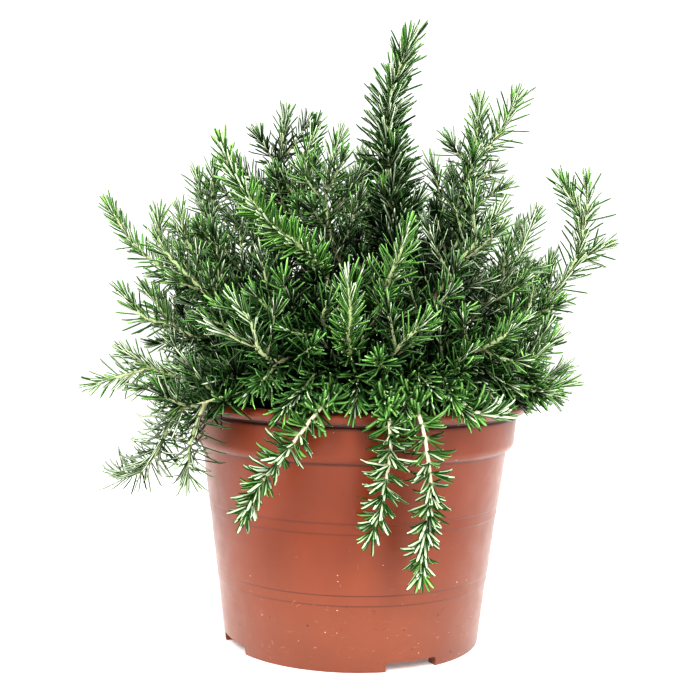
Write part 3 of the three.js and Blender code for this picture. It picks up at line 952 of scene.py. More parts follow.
class Habit(Enum):
    """How a shoot grows, with its leaves. The routes of most sprigs show which one they take."""

    UPRIGHT = Growth(2.9, 15.5, 60, 26, 1, 0.03, 1.32)
    SPREADING = Growth(2.9, 15.0, 60, 26, 1, 0.08, 1.35)
    HANGING = Growth(4.6, 13.8, 70, 32, 5, 0.42, 2.15, 0.55, True)
    TRAILING = Growth(3.0, 14.5, 74, 40, 2, 0.42, 1.4, 0.45)
    SHORT = Growth(3.1, 14.0, 60, 26, 1, 0.06, 1.35)

    @classmethod
    def of(cls, route: Route) -> "Habit":
        """The habit that a route shows."""
        rise = route[-1][2] - route[0][2]
        span = math.dist(route[0], route[-1])
        if rise < -0.1 * span:
            return cls.HANGING
        return cls.UPRIGHT if rise > 0.75 * span else cls.SPREADING


@dataclass(frozen=True)
class SprigPlan:
    """One leafy sprig: where it forks off its stem, its route and what sets it apart.

    The fork is a share of the way up the trunk. Tone is added to the leaves' own; it is partly
    the sprig's own paler or darker growth and partly painted light and shade. The radius is the
    stem's, and the other numbers are shares of what is usual for the habit.
    """

    fork: float
    route: Route
    sides: tuple[Route, ...] = ()
    leaf: float = 1.0
    spacing: float = 1.0
    tone: float = 0.0
    radius: float = 1.3
    width: float = 1.0
    spread: float = 1.0
    loose: float = 1.0
    offshoots: float = 1.0
    habit: Habit | None = None


@dataclass(frozen=True)
class StemPlan:
    """One woody stem: its foot on the soil, its trunk's points and its sprigs."""

    name: str
    foot: tuple[float, float]
    trunk: Route
    sprigs: tuple[SprigPlan, ...]


STEMS: tuple[StemPlan, ...] = (
    StemPlan("left", (-30, 0), ((-38, -2, 148), (-50, -3, 163)), (
        SprigPlan(
            1, ((-65, -2, 182), (-85, 6, 192), (-107, 10, 201), (-124, 6, 214), (-136, 1, 232)),
            tone=0.24, offshoots=0.6,
        ),
        SprigPlan(
            1, ((-65, -17, 173), (-85, -21, 192), (-100, -23, 207), (-106, -24, 215), (-106, -25, 225)),
            tone=0.17, offshoots=0.6,
        ),
        SprigPlan(
            0.8, ((-62, -8, 157), (-83, -10, 162), (-101, -12, 172), (-112, -12, 187)),
            (((-97, -12, 170), (-114, -20, 175), (-123, -21, 185)),), tone=0.1, offshoots=0.6,
        ),
        SprigPlan(
            0.45, ((-56, -22, 141), (-80, -28, 142), (-104, -31, 147), (-119, -32, 155)),
            (((-108, -31, 149), (-123, -30, 144), (-136, -30, 140)),), tone=0.3,
        ),
    )),
    StemPlan("front_left", (-18, -24), ((-24, -36, 148), (-28, -42, 168)), (
        SprigPlan(
            1,
            (
                (-16, -50, 196), (-25, -62, 209), (-42, -74, 222), (-54, -84, 236), (-61, -90, 247),
                (-64, -94, 256),
            ),
            leaf=0.94, spacing=0.28, tone=0.38, radius=1.5, width=1.35, spread=0.88, loose=2.4,
            offshoots=0.0,
        ),
        SprigPlan(
            0.8, ((-28, -66, 160), (-38, -84, 156), (-46, -94, 162), (-49, -100, 174), (-55, -104, 182))
        ),
        SprigPlan(
            1, ((-29, -50, 177), (-40, -66, 178), (-49, -76, 187)),
            (((-32, -54, 177), (-35, -67, 186), (-36, -76, 194)),),
        ),
        SprigPlan(0.9, ((-48, -34, 167), (-57, -50, 173), (-66, -63, 181))),
        SprigPlan(
            0.35,
            (
                (-44, -50, 140), (-62, -69, 138), (-76, -76, 134), (-89, -72, 129),
                (-96, -64, 115), (-104, -55, 102), (-112, -50, 95), (-119, -46, 93),
            ),
            (((-74, -76, 134), (-80, -77, 116), (-82, -73, 99)),),
            leaf=1.25, spacing=0.8, tone=-0.04, radius=0.85, width=0.78, offshoots=0.6,
            habit=Habit.TRAILING,
        ),
    )),
    StemPlan("front", (6, -30), ((4, -44, 146), (2, -54, 158)), (
        SprigPlan(
            1, ((10, -69, 178), (15, -85, 196), (19, -94, 207), (22, -101, 218)),
            spacing=0.7, tone=0.24, spread=0.84, loose=1.6, offshoots=0.6,
        ),
        SprigPlan(
            0.9, ((-2, -74, 155), (-4, -96, 169), (-3, -109, 181), (-4, -117, 194)),
            leaf=1.1, spacing=0.42, tone=0.27, radius=1.5, spread=0.66, loose=2.2, offshoots=0.0,
        ),
        SprigPlan(1, ((-13, -66, 167), (-17, -77, 177), (-14, -85, 184))),
        SprigPlan(0.6, ((14, -72, 152), (18, -85, 161), (24, -94, 169), (31, -101, 176)), tone=0.04),
        SprigPlan(
            0.35,
            (
                (-10, -68, 137), (-13, -88, 138), (-19, -101, 132), (-28, -105, 120),
                (-39, -104, 106), (-47, -102, 94), (-50, -100, 86),
            ),
            tone=0.18, radius=1.0,
        ),
        SprigPlan(
            0.45,
            (
                (13, -70, 139), (15, -90, 138), (16, -102, 131), (17, -105, 117),
                (15, -103, 102), (13, -100, 88), (9, -98, 77),
            ),
            spacing=0.85, tone=0.17, radius=1.0,
        ),
    )),
    StemPlan("front_right", (28, -20), ((34, -34, 148), (38, -41, 166)), (
        SprigPlan(1, ((31, -56, 172), (37, -66, 182), (45, -74, 190)), tone=0.04),
        SprigPlan(0.9, ((49, -53, 160), (61, -67, 163), (69, -77, 168), (74, -84, 173)), tone=0.04),
        SprigPlan(0.55, ((43, -58, 146), (48, -72, 154), (54, -82, 162))),
        SprigPlan(0.7, ((64, -39, 145), (80, -48, 152), (90, -54, 159), (98, -57, 167)), tone=0.08),
        SprigPlan(0.3, ((44, -64, 137), (51, -83, 138), (58, -91, 134), (67, -88, 133)), tone=0.08),
        SprigPlan(
            0.25,
            (
                (25, -60, 137), (27, -86, 139), (31, -102, 130), (34, -106, 116),
                (36, -104, 100), (35, -101, 84), (33, -99, 69), (33, -98, 58),
            ),
            spacing=1.35, tone=0.18, radius=1.05,
        ),
        SprigPlan(1, ((42, -34, 190), (54, -28, 208), (65, -22, 221), (74, -17, 234)), tone=0.18),
    )),
    StemPlan("right", (36, 6), ((48, 6, 146), (58, 3, 160)), (
        SprigPlan(
            0.9, ((80, 13, 163), (106, 20, 186), (124, 24, 210), (128, 26, 232), (119, 28, 252)),
            (
                ((128, 26, 228), (130, 23, 240), (129, 22, 251)),
                ((124, 24, 208), (132, 25, 215), (138, 25, 218)),
            ),
            leaf=1.15, spacing=1.15, tone=0.2, radius=1.5, width=1.25, offshoots=0.35,
        ),
        SprigPlan(
            1, ((60, -14, 176), (73, -12, 190), (86, -5, 208), (96, 4, 231)),
            tone=0.22, offshoots=0.7,
        ),
        SprigPlan(
            0.5, ((68, -20, 141), (85, -33, 140), (96, -40, 141), (105, -43, 144)),
            leaf=1.15, spacing=1.2, tone=0.25,
        ),
        SprigPlan(0.75, ((72, 1, 156), (87, 3, 168), (95, 2, 184), (97, -1, 200)), tone=0.2),
    )),
    StemPlan("centre", (2, 6), ((4, 8, 160), (8, 8, 190)), (
        SprigPlan(
            1, ((20, 4, 208), (19, 4, 239), (15, 2, 268), (16, 0, 297), (25, -5, 325)),
            leaf=1.34, spacing=0.22, tone=0.05, radius=1.4, width=1.25, spread=1.12, loose=1.8,
            offshoots=0.6,
        ),
        SprigPlan(
            0.85, ((-33, 26, 213), (-43, 31, 243), (-45, 34, 268), (-44, 34, 288)),
            tone=-0.1, offshoots=1.4,
        ),
        SprigPlan(0.95, ((-20, 8, 207), (-31, 6, 239), (-31, 2, 260), (-27, 0, 272)), tone=0.25),
        SprigPlan(0.9, ((-9, -10, 204), (-17, -14, 229), (-17, -18, 252), (-12, -21, 270)), tone=0.15),
        SprigPlan(0.7, ((46, -1, 206), (56, -5, 222), (55, -7, 230), (50, -10, 241)), tone=-0.2),
        SprigPlan(
            0.8, ((44, 22, 212), (58, 28, 244), (66, 32, 270), (68, 35, 296)),
            (((65, 31, 266), (79, 27, 283), (87, 23, 299)),), leaf=1.12, tone=0.18, width=1.1,
        ),
    )),
    StemPlan("back_right", (22, 30), ((36, 48, 150), (44, 56, 172)), (
        SprigPlan(0.8, ((70, 46, 168), (97, 46, 183), (107, 49, 195), (114, 52, 209)), tone=0.2),
        SprigPlan(
            1, ((60, 66, 184), (80, 80, 196), (93, 92, 212), (101, 99, 233)),
            tone=0.25, offshoots=0.7,
        ),
        SprigPlan(0.7, ((54, 72, 156), (72, 88, 161), (88, 100, 170), (96, 108, 184))),
        SprigPlan(0.4, ((66, 40, 144), (92, 46, 148), (102, 50, 153), (112, 56, 161)), tone=0.18),
        SprigPlan(1, ((48, 66, 194), (54, 82, 218), (60, 92, 244)), tone=0.1),
    )),
    StemPlan("back", (-6, 36), ((-8, 56, 150), (-6, 62, 176)), (
        SprigPlan(1, ((8, 54, 212), (5, 60, 244), (2, 64, 269)), tone=0.35),
        SprigPlan(1, ((-10, 78, 192), (-12, 98, 208), (-12, 112, 226), (-8, 120, 248))),
        SprigPlan(0.8, ((10, 77, 172), (18, 98, 182), (26, 111, 196), (32, 119, 212))),
        SprigPlan(0.65, ((-22, 76, 162), (-34, 96, 168), (-46, 110, 180), (-54, 118, 196)), tone=0.1),
        SprigPlan(
            0.35, ((-2, 76, 140), (-1, 97, 141), (2, 110, 136), (5, 116, 122), (5, 118, 107)), tone=0.2
        ),
        SprigPlan(0.95, ((24, 70, 196), (34, 84, 216), (38, 94, 240))),
    )),
    StemPlan("back_left", (-30, 26), ((-44, 40, 150), (-50, 43, 172)), (
        SprigPlan(
            1, ((-42, 48, 208), (-51, 54, 232), (-58, 59, 251)),
            (((-44, 49, 206), (-56, 44, 215), (-62, 42, 230)),), tone=0.15, offshoots=1.5,
        ),
        SprigPlan(
            1, ((-58, 28, 193), (-75, 31, 211), (-88, 35, 232), (-94, 38, 253)),
            (((-64, 29, 199), (-68, 31, 220), (-67, 35, 242)),), tone=0.18, offshoots=1.3,
        ),
        SprigPlan(0.9, ((-70, 20, 189), (-90, 22, 207), (-99, 24, 221), (-102, 25, 233)), tone=0.18),
        SprigPlan(0.85, ((-64, 56, 174), (-82, 70, 188), (-94, 80, 206), (-100, 85, 226)), tone=0.1),
        SprigPlan(0.6, ((-68, 40, 154), (-90, 50, 159), (-108, 58, 169), (-120, 63, 186))),
        SprigPlan(0.45, ((-52, 62, 142), (-66, 78, 145), (-80, 92, 152), (-90, 102, 166))),
    )),
)


# Leaves


@dataclass(frozen=True)
class Leaf:
    """Where one leaf grows: its root, direction, upper side, bend and own looks."""

    root: np.ndarray
    direction: np.ndarray
    face: np.ndarray
    bend: np.ndarray
    length: float
    width: float
    tone: float
    age: float
    dead: float = 0.0
    minor: bool = False

    def point(self, share: float) -> np.ndarray:
        """The leaf's middle at a share of its length."""
        return self.root + self.length * (self.direction * share + self.bend * share**2)


@dataclass(frozen=True)
class BladeShape:
    """The form of a leaf blade.

    The section's corners each give the place across in half widths, the height in
    thicknesses, and how far under the leaf they lie. Each ring gives its share of the
    length and its share of the width.
    """

    section: tuple[Point, ...]
    rings: tuple[tuple[float, float], ...]
    thickness: float = 0.6


ROLLED_BLADE = BladeShape(
    (
        (0, 0.38, 0), (1, 0.06, 0.35), (0.7, -0.44, 0.9), (0, -0.1, 1), (-0.7, -0.44, 0.9),
        (-1, 0.06, 0.35),
    ),
    ((0, 0.5), (0.22, 0.95), (0.84, 1), (0.99, 0.66)),
)
SIMPLE_BLADE = BladeShape(
    ((0, 0.55, 0), (1, -0.15, 0.8), (-1, -0.15, 0.8)), ((0, 0.65), (0.8, 1), (1, 0.6))
)


class LeafBlade:
    """The one needle leaf that leaves are stamped from."""

    def __init__(self, name: str, shape: BladeShape) -> None:
        """Lofts the leaf along +Y, one long and one wide, and notes each point's place on it.

        Args:
            name: The mesh's name.
            shape: The blade's form.
        """
        bm = bmesh.new()
        marks = bm.verts.layers.float_vector.new("leaf")
        bm.verts.layers.float_vector.new("growth")
        rings = [
            np.array([(0.5 * x * wide, far, z * wide * shape.thickness) for x, z, _ in shape.section])
            for far, wide in shape.rings
        ]
        verts = loft(bm, rings)
        corner = bm.verts.layers.int["corner"]
        for number, vert in enumerate(verts):
            across, _, under = shape.section[vert[corner]]
            vert[marks] = (across, shape.rings[number // len(shape.section)][0], under)
        bm.verts.layers.int.remove(corner)
        bmesh.ops.recalc_face_normals(bm, faces=bm.faces)
        for face in bm.faces:
            face.material_index = 1
            face.smooth = True
        self.mesh = bpy.data.meshes.new(name)
        bm.to_mesh(self.mesh)
        self.points = np.array([vert.co for vert in bm.verts])
        bm.free()

    def stamp(self, bm: BMesh, count: int) -> None:
        """Adds a number of leaves to a mesh, all still in the blade's own place."""
        for _ in range(count):
            bm.from_mesh(self.mesh)

    def place(self, mesh: bpy.types.Mesh, first: int, leaves: Sequence[Leaf]) -> int:
        """Moves stamped leaves to where they grow.

        Args:
            mesh: The mesh, in metres.
            first: Its first stamped vertex.
            leaves: The leaves, in the order that they were stamped.

        Returns:
            The vertex after the last stamped one.
        """
        last = first + len(leaves) * len(self.points)
        if not leaves:
            return last
        across, far, high = (self.points[None, :, k, None] for k in range(3))
        root, direction, face, bend = (
            np.array([getattr(leaf, name) for leaf in leaves])[:, None, :]
            for name in ("root", "direction", "face", "bend")
        )
        length, width = (
            np.array([getattr(leaf, name) for leaf in leaves])[:, None, None]
            for name in ("length", "width")
        )
        sideways = np.cross(direction, face)
        spine = root + length * (direction * far + bend * far**2)
        placed = spine + width * (sideways * across + face * high)
        own = np.array([(leaf.tone, leaf.age, leaf.dead) for leaf in leaves])
        own = np.repeat(own, len(self.points), axis=0)
        growth = mesh.attributes["growth"].data
        for data, key, new in ((mesh.vertices, "co", placed * MM), (growth, "vector", own)):
            values = np.empty(len(mesh.vertices) * 3, np.float32)
            data.foreach_get(key, values)
            values[3 * first : 3 * last] = new.ravel()
            data.foreach_set(key, values)
        mesh.update()
        return last


# Shoots and stems


@dataclass
class Shoot:
    """A green shoot: a slim stem with leaves in crosswise pairs, and small leaves in their axils.

    Bare is the leafless length at its foot. Age runs from 0, green, to 1, ripe at the foot. A
    minor shoot has the simple blade. Leaf, spacing, width, spread and loose are shares of what
    is usual, and tone is added to the leaves' own.
    """

    # How the leaves change from the shoot's foot to its tip.
    YOUTH_POWER = 2.6
    TIP_LENGTH = 0.72
    FOOT_LENGTH = 0.85
    AXIL_SPREAD = 0.45
    # A leaf tries these turns and shorter lengths until its probed points are clear.
    FIT_TURNS = (0, 22, -22, 46, -46, 75, -75, 110, -110)
    FIT_CUTS = (1.0, 0.75)
    PROBES = (0.4, 0.75, 1.0)
    LEAF_CLEARANCE = 0.9
    SHOOT_CLEARANCE = 3.0
    # How single leaves differ.
    CURL = (-0.03, 0.07)
    MIDDLE_TONE = 0.5
    TONE_SPREAD = 0.19
    FULL_WIDTH_LENGTH = 12
    TIP_LEAVES = 7
    TIP_SPACING = 0.6
    DEAD_SHARE = 0.0012
    PALING = 1.7
    # Side shoots: their length at the foot and at the tip, and their angle off the shoot.
    SIDE_SHOOT_TRIES = 4
    SIDE_SHOOT_LENGTHS = (30, 15)
    SIDE_SHOOT_TILTS = (38, 62)
    SIDE_SHOOT_RISE = 0.2
    STEM_SIDES = 7
    STEM_RINGS = 5.0
    NODE_SWELL = (0.94, 1.08)
    TIP_TAPER = 0.3
    # The bush as an ellipsoid, and how leaves and stems inside it are darkened with painted shade.
    HEART = np.array([0.0, 0.0, 128.0])
    BUSH_REACH = np.array([122.0, 110.0, 138.0])
    SUNLIT = 0.86
    FADE = 0.42
    SHADE = 0.5
    INNER_SHADE = 0.15

    line: Line
    soil: Soil
    growth: Growth = Habit.SHORT.value
    radii: tuple[float, float] = (1.4, 0.8)
    bare: float = 3.0
    leaf: float = 1.0
    spacing: float = 1.0
    tone: float = 0.0
    age: float = 1.0
    minor: bool = False
    width: float = 1.0
    spread: float = 1.0
    loose: float = 1.0

    def depth(self, point: Sequence[float]) -> float:
        """How deep a point lies in the bush, from 0 at its outside to 1 at its heart."""
        far = float(np.linalg.norm((np.array(point) - self.HEART) / self.BUSH_REACH))
        return float(np.clip((self.SUNLIT - far) / self.FADE, 0, 1))

    def is_clear(self, point: np.ndarray, margin: float) -> bool:
        """Tells whether a point is clear of pot and soil, and inside the plant's box."""
        low, high = CAD_BOX
        inside = all(
            low[k] / MM - BOX_MARGIN < point[k] < high[k] / MM + BOX_MARGIN for k in range(3)
        )
        return inside and self.soil.pot.is_clear(point, margin, self.soil.top)

    def _fit(
        self, index: int, turn: float, tilt: float, reach: float, age: float, rng: Random,
        minor: bool = False,
    ) -> Leaf | None:
        """Finds a clear place for a leaf.

        Args:
            index: The line's sample that it grows from.
            turn: Its angle about the line.
            tilt: Its angle away from the line.
            reach: Its length.
            age: From 0, young, to 1, old.
            rng: The source of its small differences.
            minor: Whether it takes the simple blade.

        Returns:
            The leaf, or None where no place is clear.
        """
        along = self.line.along[index]
        curl = rng.normal(*self.CURL)
        # Leaves deep in the bush get a darker tone: painted shade.
        shade = self.depth(self.line.points[index])
        tone = rng.normal(self.MIDDLE_TONE + self.tone - self.SHADE * shade, self.TONE_SPREAD)
        tone = float(np.clip(tone, 0, 1))
        width = self.growth.width * self.width * rng.uniform(0.85, 1.15)
        width *= mix(0.8, 1.0, min(1, reach / self.FULL_WIDTH_LENGTH))
        dead = float(age > 0.6 and rng.random() < self.DEAD_SHARE)
        twist = rng.normal(0, self.growth.twist)
        for cut in self.FIT_CUTS:
            for extra in self.FIT_TURNS:
                outward = self.line.outward(index, turn + math.radians(extra))
                direction = along * math.cos(tilt) + outward * math.sin(tilt)
                face = along * math.sin(tilt) - outward * math.cos(tilt)
                face = face * math.cos(twist) + np.cross(direction, face) * math.sin(twist)
                rise = UP - direction * direction[2]
                bend = face * curl + rise * self.growth.lift * rng.uniform(0.4, 1.6)
                leaf = Leaf(
                    self.line.points[index], direction, face, bend, reach * cut, width, tone,
                    age, dead, minor or self.minor,
                )
                places = [leaf.point(share) for share in self.PROBES]
                if all(self.is_clear(place, self.LEAF_CLEARANCE) for place in places):
                    return leaf
        return None

    def leaves(self, rng: Random) -> Iterator[Leaf]:
        """Sets the shoot with its leaves.

        Args:
            rng: The source of its small differences.

        Yields:
            The leaves that are clear of everything.
        """
        growth, length = self.growth, self.line.length
        far, turn = self.bare, rng.uniform(0, 2 * math.pi)
        while far < length - 1:
            share = far / length
            youth = share**self.YOUTH_POWER
            age = self.age * (1 - youth) * (1 - self.PALING * max(0.0, self.tone))
            tilt = math.radians(mix(growth.old_angle, growth.young_angle, youth)) * self.spread
            reach = growth.leaf * self.leaf * mix(1.0, self.TIP_LENGTH, youth)
            reach *= mix(self.FOOT_LENGTH, 1, min(1, 3 * share))
            index = self.line.sample(far)
            for half in (0, math.pi):
                around = turn + half + rng.normal(0, 0.2 * self.loose)
                swing = 1 + self.loose * rng.uniform(-0.14, 0.12)
                yield self._fit(
                    index, around, tilt * swing, reach * rng.uniform(0.86, 1.12), age, rng
                )
                for _ in range(growth.tuft):
                    yield self._fit(
                        index, around + rng.normal(0, self.AXIL_SPREAD),
                        tilt * rng.uniform(0.55, 1.05), reach * rng.uniform(0.55, 0.95),
                        age * 0.8, rng, not growth.fine,
                    )
            turn += math.pi / 2 + rng.normal(0, 0.1)
            step = growth.spacing * mix(self.spacing, self.TIP_SPACING, youth)
            far += step * rng.uniform(0.85, 1.15)
        for number in range(self.TIP_LEAVES):
            tilt = math.radians(mix(5, growth.young_angle + 4, number / self.TIP_LEAVES))
            reach = growth.leaf * self.leaf * rng.uniform(0.62, 0.95)
            around = turn + number * GOLDEN_TURN
            yield self._fit(
                self.line.sample(length - 1.2), around, tilt, reach, rng.uniform(0, 0.2), rng
            )

    def laterals(
        self, rng: Random, every: float, last: float, size: float = 1.0
    ) -> Iterator["Shoot"]:
        """Grows short side shoots from the older part of this one.

        Args:
            rng: The source of their small differences.
            every: About how far apart they grow.
            last: The share of the shoot's length where the last one grows.
            size: Their length, as a share of the usual one.

        Yields:
            The side shoots that are clear of everything.
        """
        far, turn = self.bare + 0.5 * every, rng.uniform(0, 2 * math.pi)
        while far < last * self.line.length:
            index = self.line.sample(far)
            share = far / self.line.length
            for _ in range(self.SIDE_SHOOT_TRIES):
                reach = mix(*self.SIDE_SHOOT_LENGTHS, share) * size * rng.uniform(0.7, 1.2)
                tilt = math.radians(rng.uniform(*self.SIDE_SHOOT_TILTS))
                heading = self.line.along[index] * math.cos(tilt)
                heading = heading + self.line.outward(index, turn) * math.sin(tilt)
                base = self.line.points[index]
                route = [
                    base + heading * reach * part + UP * reach * self.SIDE_SHOOT_RISE * part**2
                    for part in (0, 0.35, 0.7, 1)
                ]
                turn += GOLDEN_TURN
                if all(self.is_clear(point, self.SHOOT_CLEARANCE) for point in route[1:]):
                    # Side shoots get a darker tone: painted shade.
                    yield Shoot(
                        Line.through(route), self.soil, radii=(0.75, 0.55), bare=2.0,
                        leaf=self.leaf, tone=self.tone - self.INNER_SHADE, age=0.85, minor=True,
                    )
                    break
            far += every * rng.uniform(0.8, 1.2)

    def stem(self, bm: BMesh) -> None:
        """Lofts the shoot's own slim stem, brown at its foot and pale green at its tip."""
        growth = bm.verts.layers.float_vector["growth"]
        rings = tube_rings(self.line, self.radii, self.STEM_RINGS, self.STEM_SIDES)
        for row, ring in enumerate(rings[1:], 1):
            size = self.TIP_TAPER if row == len(rings) - 1 else self.NODE_SWELL[row % 2]
            middle = ring.mean(axis=0)
            rings[row] = middle + (ring - middle) * size
        # Stems deep in the bush, and those of minor shoots, are darkened with painted shade.
        blush, dim = (0.85 if self.growth.fine else 0.0), (0.3 if self.minor else 0.0)
        for number, vert in enumerate(loft(bm, rings)):
            share = (number // self.STEM_SIDES) / (len(rings) - 1)
            shade = mix(dim, 0.9, self.depth(vert.co))
            vert[growth] = (blush, self.age * (1 - share) ** 2.4, shade)


class Plant:
    """The nine woody stems, their leafy sprigs and the short shoots inside the bush."""

    STEM_FOOT = 96.0
    STRAIGHT_FOOT = 2.8
    # The radius at the foot and at the top.
    TRUNK_RADII = (3.4, 2.2)
    FORK_RADII = (2.0, 1.5)
    FORK_LEAD = 6.0
    SINK = 1.5
    LATERAL_EVERY = 7.5
    LAST_LATERAL = 0.64
    INNER_EVERY = 5.5
    RIM_SHOOTS = 12
    RIM_FAN = 0.75
    RIM_REACH = (84.0, 106.0)
    RIM_HEIGHT = (133.0, 147.0)
    RIM_START = 20.0
    RIM_CLEARANCE = 2.2
    WOOD_RINGS = 2.5
    BARK_RELIEF = 0.22
    BARK_LUMPS = np.array([0.45, 0.45, 0.16])
    SEED = 20281
    SEED_STEP = 100

    def __init__(self, soil: Soil) -> None:
        """Notes where the plant stands, and makes what its pieces share.

        Args:
            soil: The soil that its stems stand in, in its pot.
        """
        self.soil = soil
        self.blades = {
            False: LeafBlade("rolled_blade", ROLLED_BLADE),
            True: LeafBlade("simple_blade", SIMPLE_BLADE),
        }
        self.bark = RosemaryBark().material()
        self.shoot_skin = DownyShoot().material()
        self.leaf_skin = RosemaryLeaf().material()

    def trunk_points(self, plan: StemPlan) -> list[Point]:
        """The points of a trunk from its foot in the soil to its top."""
        x, y = plan.foot
        crown = (x, y, self.soil.top + self.STRAIGHT_FOOT)
        return [(x, y, self.STEM_FOOT), crown, *plan.trunk]

    def fork_line(self, plan: StemPlan, sprig: SprigPlan) -> Line:
        """The line of the fork that carries a sprig, from the trunk to the sprig's foot."""
        points = np.array(self.trunk_points(plan)[1:], float)
        place = sprig.fork * (len(points) - 1)
        row = min(int(place), len(points) - 2)
        start = mix(points[row], points[row + 1], place - row)
        line = Line.through(sprig.route)
        lead = line.points[0] - line.along[0] * self.FORK_LEAD
        return Line.through([start, lead, line.points[0]])

    def woody_stem(self, plan: StemPlan, number: int) -> None:
        """Builds one trunk with its forks, with knobs and ridges in its bark.

        Args:
            plan: The stem's plan.
            number: Its number, for its own bark.
        """
        bm = bmesh.new()
        growth = bm.verts.layers.float_vector.new("growth")
        trunk = Line.through(self.trunk_points(plan))
        # Each part is its line, its radii, the sides of its section and its age.
        parts = [(trunk, self.TRUNK_RADII, 12, 1.0)]
        parts += [(self.fork_line(plan, sprig), self.FORK_RADII, 10, 0.75) for sprig in plan.sprigs]
        for line, radii, sides, age in parts:
            rings = tube_rings(line, radii, self.WOOD_RINGS, sides)
            for ring in rings:
                middle = ring.mean(axis=0)
                for k, corner in enumerate(ring):
                    swell = noise.noise(Vector(corner * self.BARK_LUMPS + UP * number))
                    ring[k] = middle + (corner - middle) * (1 + self.BARK_RELIEF * swell)
            for vert in loft(bm, rings):
                vert[growth] = (0.5, age, 0)
        bmesh.ops.recalc_face_normals(bm, faces=bm.faces)
        piece = finish_piece(f"wood_{plan.name}", bm, [self.bark])
        piece.data.shade_smooth()
        seat_piece(piece, "bark", f"stem_{plan.name}")

    def _leafy_piece(self, name: str, shoots: Sequence[Shoot], rng: Random) -> bpy.types.Object:
        """Builds one piece of shoots with all their leaves.

        Args:
            name: The piece's name.
            shoots: Its shoots.
            rng: The source of their small differences.

        Returns:
            The piece.
        """
        bm = bmesh.new()
        bm.verts.layers.float_vector.new("leaf")
        bm.verts.layers.float_vector.new("growth")
        for shoot in shoots:
            shoot.stem(bm)
        bmesh.ops.recalc_face_normals(bm, faces=bm.faces)
        for face in bm.faces:
            face.smooth = True
        first = len(bm.verts)
        leaves = [leaf for shoot in shoots for leaf in shoot.leaves(rng) if leaf]
        groups = {minor: [leaf for leaf in leaves if leaf.minor == minor] for minor in self.blades}
        for minor, group in groups.items():
            self.blades[minor].stamp(bm, len(group))
        piece = finish_piece(name, bm, [self.shoot_skin, self.leaf_skin])
        for minor, group in groups.items():
            first = self.blades[minor].place(piece.data, first, group)
        return piece

    def sprig(self, plan: StemPlan, number: int, seed: int) -> None:
        """Builds one leafy sprig with its side shoots.

        Args:
            plan: The plan of the stem that carries it.
            number: Its number on that stem, from 0.
            seed: The seed of its small differences.
        """
        rng = np.random.default_rng(seed)
        sprig = plan.sprigs[number]
        growth = (sprig.habit or Habit.of(sprig.route)).value
        looks = {key: getattr(sprig, key) for key in ("leaf", "spacing", "tone", "width")}
        first = np.array(sprig.route[0], float)
        sunk = first - unit(np.array(sprig.route[1], float) - first) * self.SINK
        main = Shoot(
            Line.through([sunk, *sprig.route]), self.soil, growth, radii=(sprig.radius, 0.8),
            spread=sprig.spread, loose=sprig.loose, **looks,
        )
        shoots = [main]
        for route in sprig.sides:
            line = Line.through(route)
            shoots.append(Shoot(line, self.soil, growth, radii=(1.0, 0.7), age=0.7, **looks))
        if not growth.fine and sprig.offshoots:
            last = self.LAST_LATERAL * math.sqrt(sprig.offshoots)
            shoots += main.laterals(rng, self.LATERAL_EVERY, last, sprig.offshoots)
        name = f"{plan.name}_{number + 1}"
        piece = self._leafy_piece(f"leafy_{name}", shoots, rng)
        seat_piece(piece, "foliage", f"sprig_{name}")

    def rim_shoots(self, plan: StemPlan, rng: Random) -> Iterator[Shoot]:
        """Grows low shoots from a trunk's foot out to the pot's rim.

        Args:
            plan: The stem's plan.
            rng: The source of their small differences.

        Yields:
            The shoots that are clear of the pot.
        """
        trunk = Line.through(self.trunk_points(plan)[1:])
        x, y = plan.foot
        middle = math.atan2(y, x)
        for number in range(self.RIM_SHOOTS):
            start = trunk.points[trunk.sample(rng.uniform(2, 16))]
            share = (number + rng.random()) / self.RIM_SHOOTS
            turn = middle + mix(-self.RIM_FAN, self.RIM_FAN, share)
            heading = np.array([math.cos(turn), math.sin(turn), 0.0])
            end = heading * rng.uniform(*self.RIM_REACH) + UP * rng.uniform(*self.RIM_HEIGHT)
            rise = UP * rng.uniform(8, 14)
            route = [start, mix(start, end, 0.4) + rise, mix(start, end, 0.75) + rise, end]
            shoot = Shoot(
                Line.through(route), self.soil, radii=(0.8, 0.5), bare=6.0, leaf=1.1, age=0.8,
                minor=True, width=1.3,
            )
            outside = shoot.line.points[shoot.line.sample(self.RIM_START) :]
            if all(shoot.is_clear(point, self.RIM_CLEARANCE) for point in outside):
                yield shoot

    def short_shoots(self, plan: StemPlan, seed: int) -> None:
        """Builds the short leafy shoots that fill the bush along one stem's forks.

        Args:
            plan: The stem's plan.
            seed: The seed of their small differences.
        """
        rng = np.random.default_rng(seed)
        shoots = list(self.rim_shoots(plan, rng))
        for sprig in plan.sprigs:
            carrier = Shoot(self.fork_line(plan, sprig), self.soil, bare=2.0)
            shoots += carrier.laterals(rng, self.INNER_EVERY, 1.0)
        piece = self._leafy_piece(f"short_shoots_{plan.name}", shoots, rng)
        seat_piece(piece, "foliage")

    def build(self) -> None:
        """Builds every stem, sprig and short shoot."""
        for number, plan in enumerate(STEMS):
            seed = self.SEED + self.SEED_STEP * number
            self.woody_stem(plan, number)
            for index in range(len(plan.sprigs)):
                self.sprig(plan, index, seed + index)
            self.short_shoots(plan, seed + self.SEED_STEP - 1)


# The studio


@dataclass(frozen=True)
class Softbox:
    """A square soft light: where it hangs, its side in metres and its power in watts."""

    name: str
    place: Point
    side: float
    power: float


